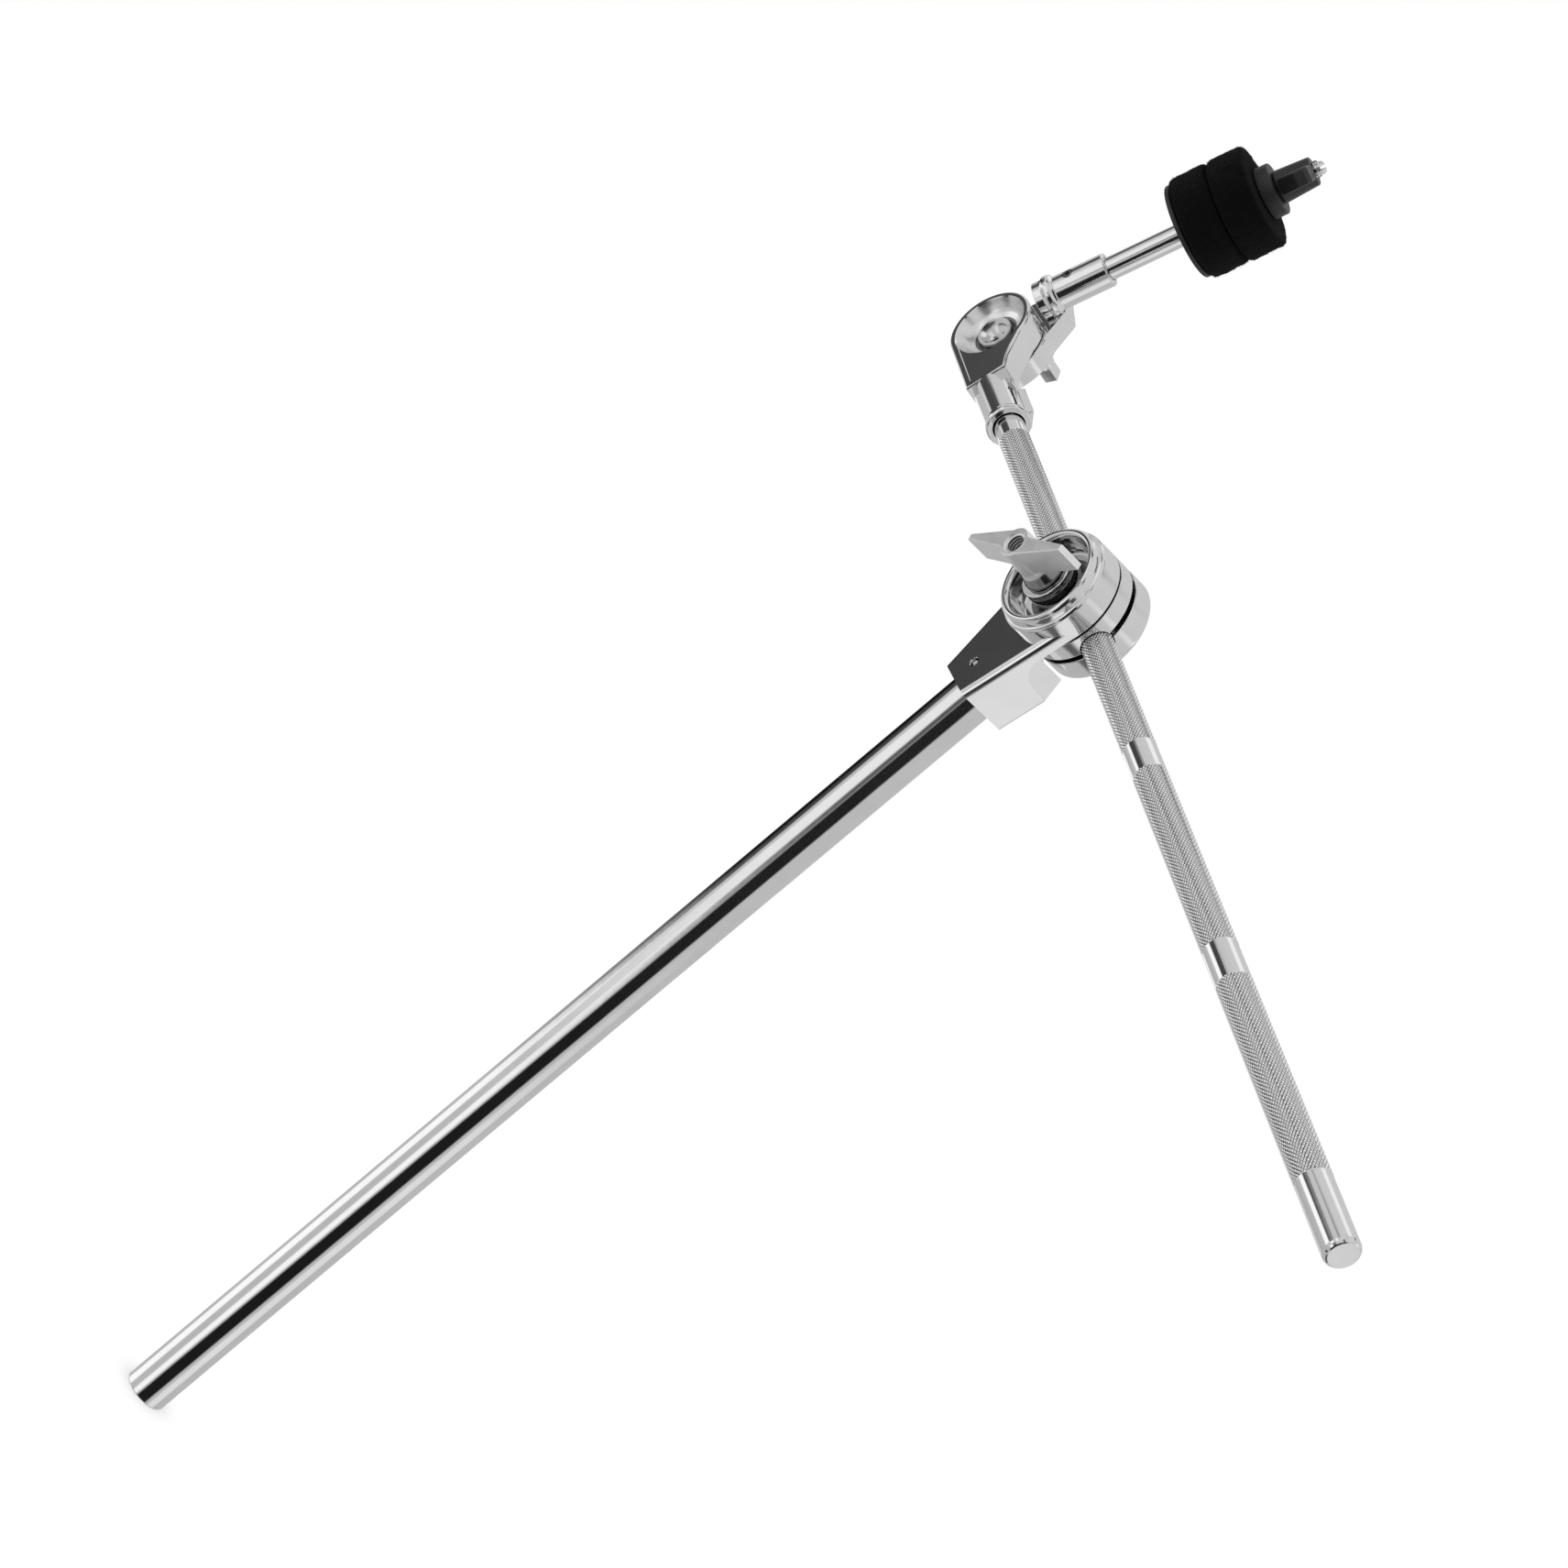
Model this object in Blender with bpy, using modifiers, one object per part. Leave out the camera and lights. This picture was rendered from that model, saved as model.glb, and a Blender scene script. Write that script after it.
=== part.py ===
"""Cymbal boom stand: the upper section of a boom cymbal stand, as a bench assembly.

Frame: origin at the centre of the down tube's open foot, +Z up the tube, +Y along the main
tilter's axis towards its rear disc, +X towards the counter end of the boom rod.
All sizes are in metres.
"""
import math

import bmesh
import bpy

MM = 0.001
GAP = 0.3 * MM              # clearance between touching or cut pieces

# Main sizes
HUB_HEIGHT = 480.7 * MM     # foot of the tube to the main tilter's axis
ROD_PLANE_Y = 3.0 * MM      # the boom rod runs this far behind the tube's axis
TUBE_R = 9.525 * MM
TUBE_WALL = 1.5 * MM
TUBE_TOP = 444.5 * MM
BOOM_R = 6.35 * MM
BOOM_COUNTER_END = 332.0 * MM
BOOM_TILTER_END = 157.0 * MM
BOOM_CHAMFER = 2.2 * MM
DISC_R = 22.4 * MM

# Resting angles
BOOM_TILT = math.radians(5.75)      # the counter end points this far below level
TILTER_SWIVEL = math.radians(-7.5)  # small tilter turned on the boom rod
CYMBAL_LEAN = math.radians(10.6)    # cymbal rod leans from square to the boom rod

# Cymbal tilter, measured from the pivot or from the rod axes
PIVOT_BACK = 185.5 * MM     # pivot to the main tilter, along the boom rod
PIVOT_UP = 9.8 * MM         # pivot above the boom rod's axis
CYMBAL_OFFSET = 11.2 * MM   # cymbal rod's axis outboard of the pivot
PLATE_R = 18.3 * MM
LOWER_FRONT = -8.7 * MM
LOWER_BACK = 4.0 * MM
UPPER_FRONT = LOWER_BACK + GAP
UPPER_BACK = 13.3 * MM

# Cymbal rod stations, from the pivot
SOCKET_END = 51.3 * MM
SHOULDER = 85.5 * MM
FELT_R = 21.75 * MM
FELT_THICK = 15.9 * MM
ROD_TIP = 146.6 * MM

CHROME = (0.78, 0.78, 0.79)
FELT_BLACK = (0.012, 0.012, 0.013)
PLASTIC_BLACK = (0.02, 0.02, 0.021)

for stale in list(bpy.data.objects):
    bpy.data.objects.remove(stale, do_unlink=True)

parts = bpy.data.collections.new("cymbal_boom_stand")
cutters = bpy.data.collections.new("cutters")
bpy.context.scene.collection.children.link(parts)
bpy.context.scene.collection.children.link(cutters)


def material(name, colour, roughness, metallic):
    """A Principled material for one sub-part."""
    mat = bpy.data.materials.new(name)
    mat.use_nodes = True
    shader = mat.node_tree.nodes["Principled BSDF"]
    shader.inputs["Base Color"].default_value = (*colour, 1.0)
    shader.inputs["Roughness"].default_value = roughness
    shader.inputs["Metallic"].default_value = metallic
    return mat


def chrome(name):
    return material(name, CHROME, 0.08, 1.0)


def empty(name, location, rotation=(0, 0, 0), parent=None):
    """A joint frame: a parent for the pieces that share an axis."""
    frame = bpy.data.objects.new(name, None)
    frame.location = location
    frame.rotation_euler = rotation
    frame.parent = parent
    parts.objects.link(frame)
    return frame


def place(piece, parent, location=(0, 0, 0), rotation=(0, 0, 0)):
    piece.parent = parent
    piece.location = location
    piece.rotation_euler = rotation
    return piece


def turned(name, profile, steps=32, closed=False, home=parts):
    """A turned piece about its own Z, from (radius, height) points down the outer side."""
    mesh = bpy.data.meshes.new(name)
    points = [(radius, 0.0, height) for radius, height in profile]
    edges = [(i, i + 1) for i in range(len(points) - 1)]
    if closed:
        edges.append((len(points) - 1, 0))
    mesh.from_pydata(points, edges, [])
    piece = bpy.data.objects.new(name, mesh)
    home.objects.link(piece)
    screw = piece.modifiers.new("turn", "SCREW")
    screw.steps = steps
    screw.render_steps = steps
    screw.use_merge_vertices = True
    screw.merge_threshold = 0.00001
    screw.use_normal_calculate = False
    return piece


def rod_profile(radius, top, bottom, chamfer=0.0):
    """Profile of a solid bar with both ends chamfered."""
    if chamfer:
        return [(0, top), (radius - chamfer, top), (radius, top - chamfer),
                (radius, bottom + chamfer), (radius - chamfer, bottom), (0, bottom)]
    return [(0, top), (radius, top), (radius, bottom), (0, bottom)]


def ring_profile(outer, inner, top, bottom, chamfer=0.0):
    """Profile of a ring; its outer corners may be chamfered."""
    if chamfer:
        return [(outer - chamfer, top), (outer, top - chamfer), (outer, bottom + chamfer),
                (outer - chamfer, bottom), (inner, bottom), (inner, top)]
    return [(outer, top), (outer, bottom), (inner, bottom), (inner, top)]


def slab(name, outline, low, high, home=parts):
    """A flat outline in XZ, made solid from y = low to y = high."""
    curve = bpy.data.curves.new(name, "CURVE")
    curve.dimensions = "2D"
    curve.fill_mode = "BOTH"
    curve.extrude = (high - low) / 2
    spline = curve.splines.new("POLY")
    spline.points.add(len(outline) - 1)
    for point, (x, z) in zip(spline.points, outline):
        point.co = (x, z, 0.0, 1.0)
    spline.use_cyclic_u = True
    drawn = bpy.data.objects.new(name + "_outline", curve)
    home.objects.link(drawn)
    bpy.context.view_layer.update()
    mesh = bpy.data.meshes.new_from_object(drawn.evaluated_get(bpy.context.evaluated_depsgraph_get()))
    bpy.data.objects.remove(drawn)
    work = bmesh.new()
    work.from_mesh(mesh)
    bmesh.ops.remove_doubles(work, verts=work.verts, dist=0.00001)
    for vert in work.verts:
        x, z, depth = vert.co
        vert.co = (x, (low + high) / 2 + depth, z)
    bmesh.ops.recalc_face_normals(work, faces=work.faces)
    if work.calc_volume(signed=True) < 0:
        bmesh.ops.reverse_faces(work, faces=work.faces)
    work.to_mesh(mesh)
    work.free()
    mesh.name = name
    piece = bpy.data.objects.new(name, mesh)
    home.objects.link(piece)
    return piece


def block(name, size, centre, home=parts):
    """A box of a given size about a centre, in its parent's frame."""
    mesh = bpy.data.meshes.new(name)
    work = bmesh.new()
    bmesh.ops.create_cube(work, size=1.0)
    bmesh.ops.scale(work, vec=size, verts=work.verts)
    bmesh.ops.translate(work, vec=centre, verts=work.verts)
    work.to_mesh(mesh)
    work.free()
    piece = bpy.data.objects.new(name, mesh)
    home.objects.link(piece)
    return piece


def arc(centre, radius, start, end, steps):
    """Points on an arc; the angles are in degrees."""
    points = []
    for step in range(steps + 1):
        angle = math.radians(start + (end - start) * step / steps)
        points.append((centre[0] + radius * math.cos(angle), centre[1] + radius * math.sin(angle)))
    return points


def boolean(piece, tool, operation):
    """Cut a piece with a tool, or join the tool to it; the tool is only a guide."""
    tool.hide_render = True
    tool.display_type = "WIRE"
    for owner in list(tool.users_collection):
        owner.objects.unlink(tool)
    cutters.objects.link(tool)
    modifier = piece.modifiers.new(operation.lower() + "_" + tool.name, "BOOLEAN")
    modifier.operation = operation
    modifier.solver = "EXACT"
    modifier.object = tool


def cut(piece, tool):
    boolean(piece, tool, "DIFFERENCE")


def join(piece, tool):
    boolean(piece, tool, "UNION")


def finish(piece, mat):
    piece.data.materials.clear()
    piece.data.materials.append(mat)
    piece.data.shade_smooth()
    piece.data.set_sharp_from_angle(angle=math.radians(35))
    return piece


# Joint frames. A turned piece stands along Z, so ALONG_Y and ALONG_X lay it on another axis.
ALONG_Y = (math.radians(-90), 0, 0)
ALONG_X = (0, math.radians(90), 0)
hub = empty("hub", (0, ROD_PLANE_Y, HUB_HEIGHT))
tilt_frame = empty("tilt_frame", (0, 0, 0), (0, BOOM_TILT, 0), hub)
swivel_frame = empty("swivel_frame", (0, 0, 0), (TILTER_SWIVEL, 0, 0), tilt_frame)
pivot_frame = empty("pivot_frame", (-PIVOT_BACK, 0, PIVOT_UP), (0, CYMBAL_LEAN, 0), swivel_frame)

# Down tube --------------------------------------------------------------------------------
PIN_R = 1.5 * MM
PIN_HEIGHT = HUB_HEIGHT - 41.6 * MM
down_tube = turned("down_tube", ring_profile(TUBE_R, TUBE_R - TUBE_WALL, TUBE_TOP, 0), 40, closed=True)
pin_hole_tool = turned("pin_hole_tool", rod_profile(PIN_R + GAP, 15 * MM, -15 * MM), 16)
place(pin_hole_tool, None, (0, 0, PIN_HEIGHT), ALONG_Y)
cut(down_tube, pin_hole_tool)
finish(down_tube, chrome("tube_chrome"))

# Tilter yoke: front disc with raised lip and cup, and the tube socket below it ---------------
FRONT_DISC_BACK = -9.05 * MM
YOKE_HALF_WIDTH = 11.2 * MM
YOKE_HALF_DEPTH = 11.8 * MM
YOKE_FOOT = 51.5 * MM       # below the hub
SCOOP_R = 24.6 * MM
SPRING_POCKET_R = 7.5 * MM
SPRING_POCKET_END = -16.0 * MM
BOSS_FACE = -22.0 * MM
SHANK_R = 3.9 * MM
front_disc = [
    (DISC_R, FRONT_DISC_BACK), (DISC_R, -18.4 * MM), (22.0 * MM, -19.2 * MM),
    (21.3 * MM, -19.5 * MM), (21.2 * MM, -21.0 * MM), (20.7 * MM, -22.5 * MM),
    (19.6 * MM, -23.3 * MM), (18.5 * MM, -22.8 * MM), (17.8 * MM, -21.4 * MM),
    (17.4 * MM, -15.2 * MM), (16.4 * MM, -14.0 * MM), (11.6 * MM, -13.8 * MM),
    (10.9 * MM, -14.6 * MM), (10.7 * MM, -21.4 * MM), (10.1 * MM, BOSS_FACE),
    (SHANK_R + GAP, BOSS_FACE), (SHANK_R + GAP, SPRING_POCKET_END),
    (SPRING_POCKET_R, SPRING_POCKET_END), (SPRING_POCKET_R, FRONT_DISC_BACK)]
tilter_yoke = turned("tilter_yoke", front_disc, 48, closed=True)
place(tilter_yoke, hub, (0, 0, 0), ALONG_Y)

neck_reach = math.hypot(YOKE_HALF_WIDTH, YOKE_FOOT)
tangent_turn = math.acos((DISC_R - 0.2 * MM) / neck_reach)
tangent_angle = tangent_turn - math.atan2(YOKE_FOOT, YOKE_HALF_WIDTH)
tangent_x = (DISC_R - 0.2 * MM) * math.cos(tangent_angle)
tangent_z = (DISC_R - 0.2 * MM) * math.sin(tangent_angle)
neck_outline = [(-YOKE_HALF_WIDTH, -YOKE_FOOT), (YOKE_HALF_WIDTH, -YOKE_FOOT),
                (tangent_x, tangent_z), (-tangent_x, tangent_z)]
neck = slab("neck_tool", neck_outline, -ROD_PLANE_Y - YOKE_HALF_DEPTH, -ROD_PLANE_Y + YOKE_HALF_DEPTH)
bevel = neck.modifiers.new("round_edges", "BEVEL")
bevel.width = 1.4 * MM
bevel.segments = 2
place(neck, hub)
cup_keep_out = turned("cup_keep_out", rod_profile(19.0 * MM, FRONT_DISC_BACK + 1.0 * MM, -30 * MM), 48)
place(cup_keep_out, hub, (0, 0, 0), ALONG_Y)
scoop = turned("scoop_tool", rod_profile(SCOOP_R, 30 * MM, FRONT_DISC_BACK - 0.3 * MM), 48)
place(scoop, hub, (0, 0, 0), ALONG_Y)
RELIEF_R = 8.0 * MM
RELIEF_FLOOR = -30.2 * MM
RELIEF_FRONT = FRONT_DISC_BACK - 0.15 * MM
relief_outline = arc((RELIEF_FRONT + RELIEF_R, RELIEF_FLOOR + RELIEF_R), RELIEF_R, 180, 265, 8)
relief_outline += [(12 * MM, RELIEF_FLOOR - 1.4 * MM), (12 * MM, 30 * MM), (RELIEF_FRONT, 30 * MM)]
relief = slab("relief_tool", relief_outline, -30 * MM, 30 * MM)
place(relief, hub, (0, 0, 0), (0, 0, math.radians(90)))
CORE_HALF_WIDTH = 10.9 * MM
core_outline = [(-15.6 * MM, -33.4 * MM), (15.6 * MM, -33.4 * MM), (CORE_HALF_WIDTH, -21 * MM),
                (CORE_HALF_WIDTH, 10 * MM), (-CORE_HALF_WIDTH, 10 * MM), (-CORE_HALF_WIDTH, -21 * MM)]
relief_core = slab("relief_core_tool", core_outline, -30 * MM, 30 * MM)
place(relief_core, hub)
cut(relief, relief_core)
cut(neck, cup_keep_out)
cut(neck, scoop)
cut(neck, relief)
join(tilter_yoke, neck)
tube_socket = turned("tube_socket_tool", rod_profile(TUBE_R + GAP, TUBE_TOP + GAP, 400 * MM), 40)
cut(tilter_yoke, tube_socket)
yoke_pin_tool = turned("yoke_pin_tool", rod_profile(PIN_R + GAP, 20 * MM, -20 * MM), 16)
place(yoke_pin_tool, None, (0, 0, PIN_HEIGHT), ALONG_Y)
cut(tilter_yoke, yoke_pin_tool)
finish(tilter_yoke, chrome("yoke_chrome"))

yoke_pin = turned("yoke_pin", rod_profile(PIN_R, 10.8 * MM, -10.8 * MM, 0.3 * MM), 16)
place(yoke_pin, None, (0, 0, PIN_HEIGHT), ALONG_Y)
finish(yoke_pin, material("pin_steel", (0.55, 0.55, 0.56), 0.3, 1.0))

# Ratchet disc and rear clamp disc: they grip the boom rod in two half grooves ---------------
BARREL_R = 9.25 * MM
DISC_BORE_R = BARREL_R + GAP
CLAMP_GAP = 1.1 * MM        # half of the open gap between the two discs
REAR_FACE = 12.2 * MM
HEAD_R = 12.2 * MM
HEAD_SEAT = 8.9 * MM
ratchet_disc = turned("ratchet_disc",
                      ring_profile(DISC_R, DISC_BORE_R, -CLAMP_GAP, FRONT_DISC_BACK + GAP, 0.3 * MM),
                      48, closed=True)
place(ratchet_disc, tilt_frame, (0, 0, 0), ALONG_Y)
rear_disc = [
    (20.6 * MM, REAR_FACE), (DISC_R - 0.4 * MM, REAR_FACE - 1.2 * MM), (DISC_R, REAR_FACE - 2.2 * MM),
    (DISC_R, CLAMP_GAP + 0.3 * MM), (DISC_R - 0.3 * MM, CLAMP_GAP), (DISC_BORE_R, CLAMP_GAP),
    (DISC_BORE_R, HEAD_SEAT), (HEAD_R + GAP, HEAD_SEAT), (HEAD_R + GAP, REAR_FACE)]
rear_clamp_disc = turned("rear_clamp_disc", rear_disc, 48, closed=True)
place(rear_clamp_disc, tilt_frame, (0, 0, 0), ALONG_Y)

BOLT_END = -38.5 * MM
BARREL_FRONT = -8.45 * MM
clamp_bolt_profile = [
    (0, 11.9 * MM), (HEAD_R - 1.0 * MM, 11.9 * MM), (HEAD_R, 11.0 * MM), (HEAD_R, HEAD_SEAT + GAP),
    (BARREL_R, HEAD_SEAT + GAP), (BARREL_R, BARREL_FRONT), (SHANK_R, BARREL_FRONT),
    (SHANK_R, BOLT_END + 0.8 * MM), (SHANK_R - 0.8 * MM, BOLT_END), (0, BOLT_END)]
clamp_bolt = turned("clamp_bolt", clamp_bolt_profile, 32)
place(clamp_bolt, tilt_frame, (0, 0, 0), ALONG_Y)
for name, gripped in (("ratchet_groove", ratchet_disc), ("rear_groove", rear_clamp_disc),
                      ("bolt_eye", clamp_bolt)):
    groove = turned(name + "_tool", rod_profile(BOOM_R + GAP, 40 * MM, -40 * MM), 32)
    place(groove, tilt_frame, (0, 0, 0), ALONG_X)
    cut(gripped, groove)
finish(ratchet_disc, chrome("ratchet_chrome"))
finish(rear_clamp_disc, chrome("rear_disc_chrome"))
finish(clamp_bolt, material("bolt_steel", (0.62, 0.62, 0.63), 0.25, 1.0))

# Release spring round the bolt's shank, which opens the tilter when the wing nut is loose ----
SPRING_MEAN_R = 5.7 * MM
SPRING_WIRE_R = 0.55 * MM
SPRING_TURNS = 4
SPRING_POINTS = 12          # points in each turn
spring_curve = bpy.data.curves.new("release_spring", "CURVE")
spring_curve.dimensions = "3D"
spring_curve.bevel_depth = SPRING_WIRE_R
spring_curve.bevel_resolution = 1
spring_curve.use_fill_caps = True
coil = spring_curve.splines.new("POLY")
coil.points.add(SPRING_TURNS * SPRING_POINTS)
coil_start = BARREL_FRONT - GAP - SPRING_WIRE_R
coil_end = SPRING_POCKET_END + GAP + SPRING_WIRE_R
for index, point in enumerate(coil.points):
    along = index / (SPRING_TURNS * SPRING_POINTS)
    angle = math.tau * index / SPRING_POINTS
    point.co = (SPRING_MEAN_R * math.cos(angle), SPRING_MEAN_R * math.sin(angle),
                coil_start + (coil_end - coil_start) * along, 1.0)
release_spring = bpy.data.objects.new("release_spring", spring_curve)
parts.objects.link(release_spring)
place(release_spring, tilt_frame, (0, 0, 0), ALONG_Y)
spring_curve.materials.append(material("spring_steel", (0.5, 0.5, 0.5), 0.35, 1.0))

# Washer and cast wing nut -----------------------------------------------------------------
WASHER_BACK = BOSS_FACE - GAP
WASHER_FRONT = WASHER_BACK - 2.0 * MM
NUT_BACK = WASHER_FRONT - GAP
NUT_FRONT = -43.0 * MM
clamp_washer = turned("clamp_washer",
                      ring_profile(10.6 * MM, SHANK_R + GAP, WASHER_BACK, WASHER_FRONT, 0.4 * MM),
                      32, closed=True)
place(clamp_washer, tilt_frame, (0, 0, 0), ALONG_Y)
finish(clamp_washer, chrome("washer_chrome"))

WING_SPAN = 24.5 * MM       # wing tip to the bolt's axis
WING_ANGLE = math.radians(-38)
nut_hub = [
    (8.0 * MM, NUT_BACK), (8.6 * MM, NUT_BACK - 0.6 * MM), (8.4 * MM, NUT_BACK - 1.6 * MM),
    (6.6 * MM, -30.5 * MM), (6.3 * MM, NUT_FRONT + 0.3 * MM), (6.0 * MM, NUT_FRONT),
    (SHANK_R + GAP, NUT_FRONT), (SHANK_R + GAP, NUT_BACK)]
tilt_wing_nut = turned("tilt_wing_nut", nut_hub, 32, closed=True)
place(tilt_wing_nut, tilt_frame, (0, 0, 0), ALONG_Y)
for side in (1, -1):
    wing = slab("wing_tool_" + ("right" if side > 0 else "left"),
                [(side * x, side * z) for x, z in (
                    (1.0 * MM, -5.6 * MM), (WING_SPAN, -1.4 * MM), (WING_SPAN, 1.2 * MM),
                    (6.0 * MM, 2.6 * MM), (4.6 * MM, 4.0 * MM))],
                NUT_FRONT, NUT_FRONT + 12.0 * MM)
    place(wing, tilt_frame, (0, 0, 0), (0, WING_ANGLE, 0))
    join(tilt_wing_nut, wing)
nut_bore = turned("nut_bore_tool", rod_profile(SHANK_R + GAP, -20 * MM, -50 * MM), 32)
place(nut_bore, tilt_frame, (0, 0, 0), ALONG_Y)
cut(tilt_wing_nut, nut_bore)
finish(tilt_wing_nut, material("cast_zinc", (0.62, 0.62, 0.63), 0.3, 1.0))

# Boom rod: knurled steel bar. Its knurls stand a hair proud of the smooth bands --------------
BAND_R = BOOM_R - 0.15 * MM
SMOOTH_BANDS = ((85, 100), (193, 210), (301, 332))      # mm from the hub
boom_points = [(0, BOOM_COUNTER_END), (BAND_R - BOOM_CHAMFER, BOOM_COUNTER_END),
               (BAND_R, BOOM_COUNTER_END - BOOM_CHAMFER * 1.5)]
for low, high in reversed(SMOOTH_BANDS):
    if high * MM < BOOM_COUNTER_END:
        boom_points += [(BOOM_R, high * MM + 0.3 * MM), (BAND_R, high * MM)]
    boom_points += [(BAND_R, low * MM), (BOOM_R, low * MM - 0.3 * MM)]
boom_points += [(BOOM_R, -117 * MM), (BAND_R, -117.3 * MM), (BAND_R, -BOOM_TILTER_END + 1 * MM),
                (BAND_R - 1 * MM, -BOOM_TILTER_END), (0, -BOOM_TILTER_END)]
boom_rod = turned("boom_rod", boom_points, 32)
place(boom_rod, tilt_frame, (0, 0, 0), ALONG_X)
finish(boom_rod, chrome("boom_chrome"))

# Cymbal tilter, lower half: dished plate, slotted socket and screw boss ---------------------
PLATE_FOOT = -154.0 * MM
SOCKET_MOUTH = -127.5 * MM
SOCKET_BOTTOM = -158.0 * MM
SOCKET_R = 8.7 * MM
PIVOT_R = 3.0 * MM
pivot_point = (-PIVOT_BACK, PIVOT_UP)
plate_outline = [(PLATE_FOOT, -8.9 * MM)]
plate_outline += arc(pivot_point, PLATE_R, -90, -325, 26)
plate_outline += [(-164.6 * MM, 15.4 * MM), (-160.5 * MM, 12.0 * MM), (PLATE_FOOT, 9.1 * MM)]
tilter_lower_half = slab("tilter_lower_half", plate_outline, LOWER_FRONT, LOWER_BACK)
bevel = tilter_lower_half.modifiers.new("round_edges", "BEVEL")
bevel.width = 0.7 * MM
bevel.segments = 2
bevel.limit_method = "ANGLE"
place(tilter_lower_half, swivel_frame)
socket_points = [
    (SOCKET_R + 0.1 * MM, SOCKET_MOUTH), (9.3 * MM, SOCKET_MOUTH - 0.9 * MM),
    (9.3 * MM, SOCKET_MOUTH - 2.4 * MM), (SOCKET_R, SOCKET_MOUTH - 3.6 * MM),
    (SOCKET_R, PLATE_FOOT - 4 * MM), (BOOM_R + GAP, PLATE_FOOT - 4 * MM), (BOOM_R + GAP, SOCKET_MOUTH)]
lower_socket = turned("lower_socket_tool", socket_points, 32, closed=True)
place(lower_socket, swivel_frame, (0, 0, 0), ALONG_X)
join(tilter_lower_half, lower_socket)

BOSS_TURN = math.radians(35)    # the boss leans this far to the rear, the slot to the front
BOSS_STATION = -141.0 * MM
BOSS_TOP = 10.7 * MM            # from the boom rod's axis
BOSS_HALF_WIDTH = 4.5 * MM
boss_frame = empty("boss_frame", (BOSS_STATION, 0, 0), (-BOSS_TURN, 0, 0), swivel_frame)
boss_outline = [(-8.0 * MM, 7.0 * MM), (11.1 * MM, 7.0 * MM), (11.1 * MM, 8.0 * MM),
                (8.4 * MM, BOSS_TOP), (-8.0 * MM, BOSS_TOP)]
boss = slab("boss_tool", boss_outline, -BOSS_HALF_WIDTH, BOSS_HALF_WIDTH)
bevel = boss.modifiers.new("round_edges", "BEVEL")
bevel.width = 0.6 * MM
bevel.segments = 2
place(boss, boss_frame)
join(tilter_lower_half, boss)
boom_bore = turned("boom_bore_tool", rod_profile(BOOM_R + GAP, SOCKET_MOUTH + 5 * MM, SOCKET_BOTTOM), 32)
place(boom_bore, swivel_frame, (0, 0, 0), ALONG_X)
cut(tilter_lower_half, boom_bore)

SLOT_WIDTH = 1.1 * MM
SLOT_START = -143.0 * MM
SLOT_END = -131.4 * MM
slot_frame = empty("slot_frame", (SLOT_START, 0, 0), (BOSS_TURN, 0, 0), swivel_frame)
slot = block("slot_tool", (SLOT_END - SLOT_START, SLOT_WIDTH, 8 * MM),
             ((SLOT_END - SLOT_START) / 2, 0, 8 * MM))
place(slot, slot_frame)
cut(tilter_lower_half, slot)
slot_hole = turned("slot_hole_tool", rod_profile(1.2 * MM, 12 * MM, 4 * MM), 16)
place(slot_hole, slot_frame)
cut(tilter_lower_half, slot_hole)

SCREW_R = 2.5 * MM
screw_hole = turned("screw_hole_tool", rod_profile(SCREW_R + GAP, BOSS_TOP + 3 * MM, 4 * MM), 24)
place(screw_hole, boss_frame)
cut(tilter_lower_half, screw_hole)
dish_points = [
    (0, LOWER_FRONT + 6.4 * MM), (8.4 * MM, LOWER_FRONT + 6.4 * MM), (12.4 * MM, LOWER_FRONT + 4.6 * MM),
    (14.6 * MM, LOWER_FRONT + 1.9 * MM), (15.5 * MM, LOWER_FRONT + 0.6 * MM),
    (16.0 * MM, LOWER_FRONT), (16.0 * MM, LOWER_FRONT - 4 * MM), (0, LOWER_FRONT - 4 * MM)]
dish = turned("dish_tool", dish_points, 40)
place(dish, swivel_frame, (-PIVOT_BACK, 0, PIVOT_UP), ALONG_Y)
cut(tilter_lower_half, dish)
lower_pivot_hole = turned("lower_pivot_tool", rod_profile(PIVOT_R + GAP, 30 * MM, -30 * MM), 24)
place(lower_pivot_hole, swivel_frame, (-PIVOT_BACK, 0, PIVOT_UP), ALONG_Y)
cut(tilter_lower_half, lower_pivot_hole)
finish(tilter_lower_half, chrome("lower_half_chrome"))

# Socket screw sunk in the boss, which grips the boom rod ------------------------------------
HEX_R = 1.5 * MM
HEX_DEPTH = 2.2 * MM
SCREW_TOP = BOSS_TOP - 0.2 * MM
clamp_screw = turned("clamp_screw", rod_profile(SCREW_R, SCREW_TOP, BOOM_R + GAP, 0.4 * MM), 24)
place(clamp_screw, boss_frame)
hex_socket = turned("hex_socket_tool", rod_profile(HEX_R, SCREW_TOP + 2 * MM, SCREW_TOP - HEX_DEPTH), 6)
place(hex_socket, boss_frame)
cut(clamp_screw, hex_socket)
finish(clamp_screw, chrome("clamp_screw_chrome"))

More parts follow.
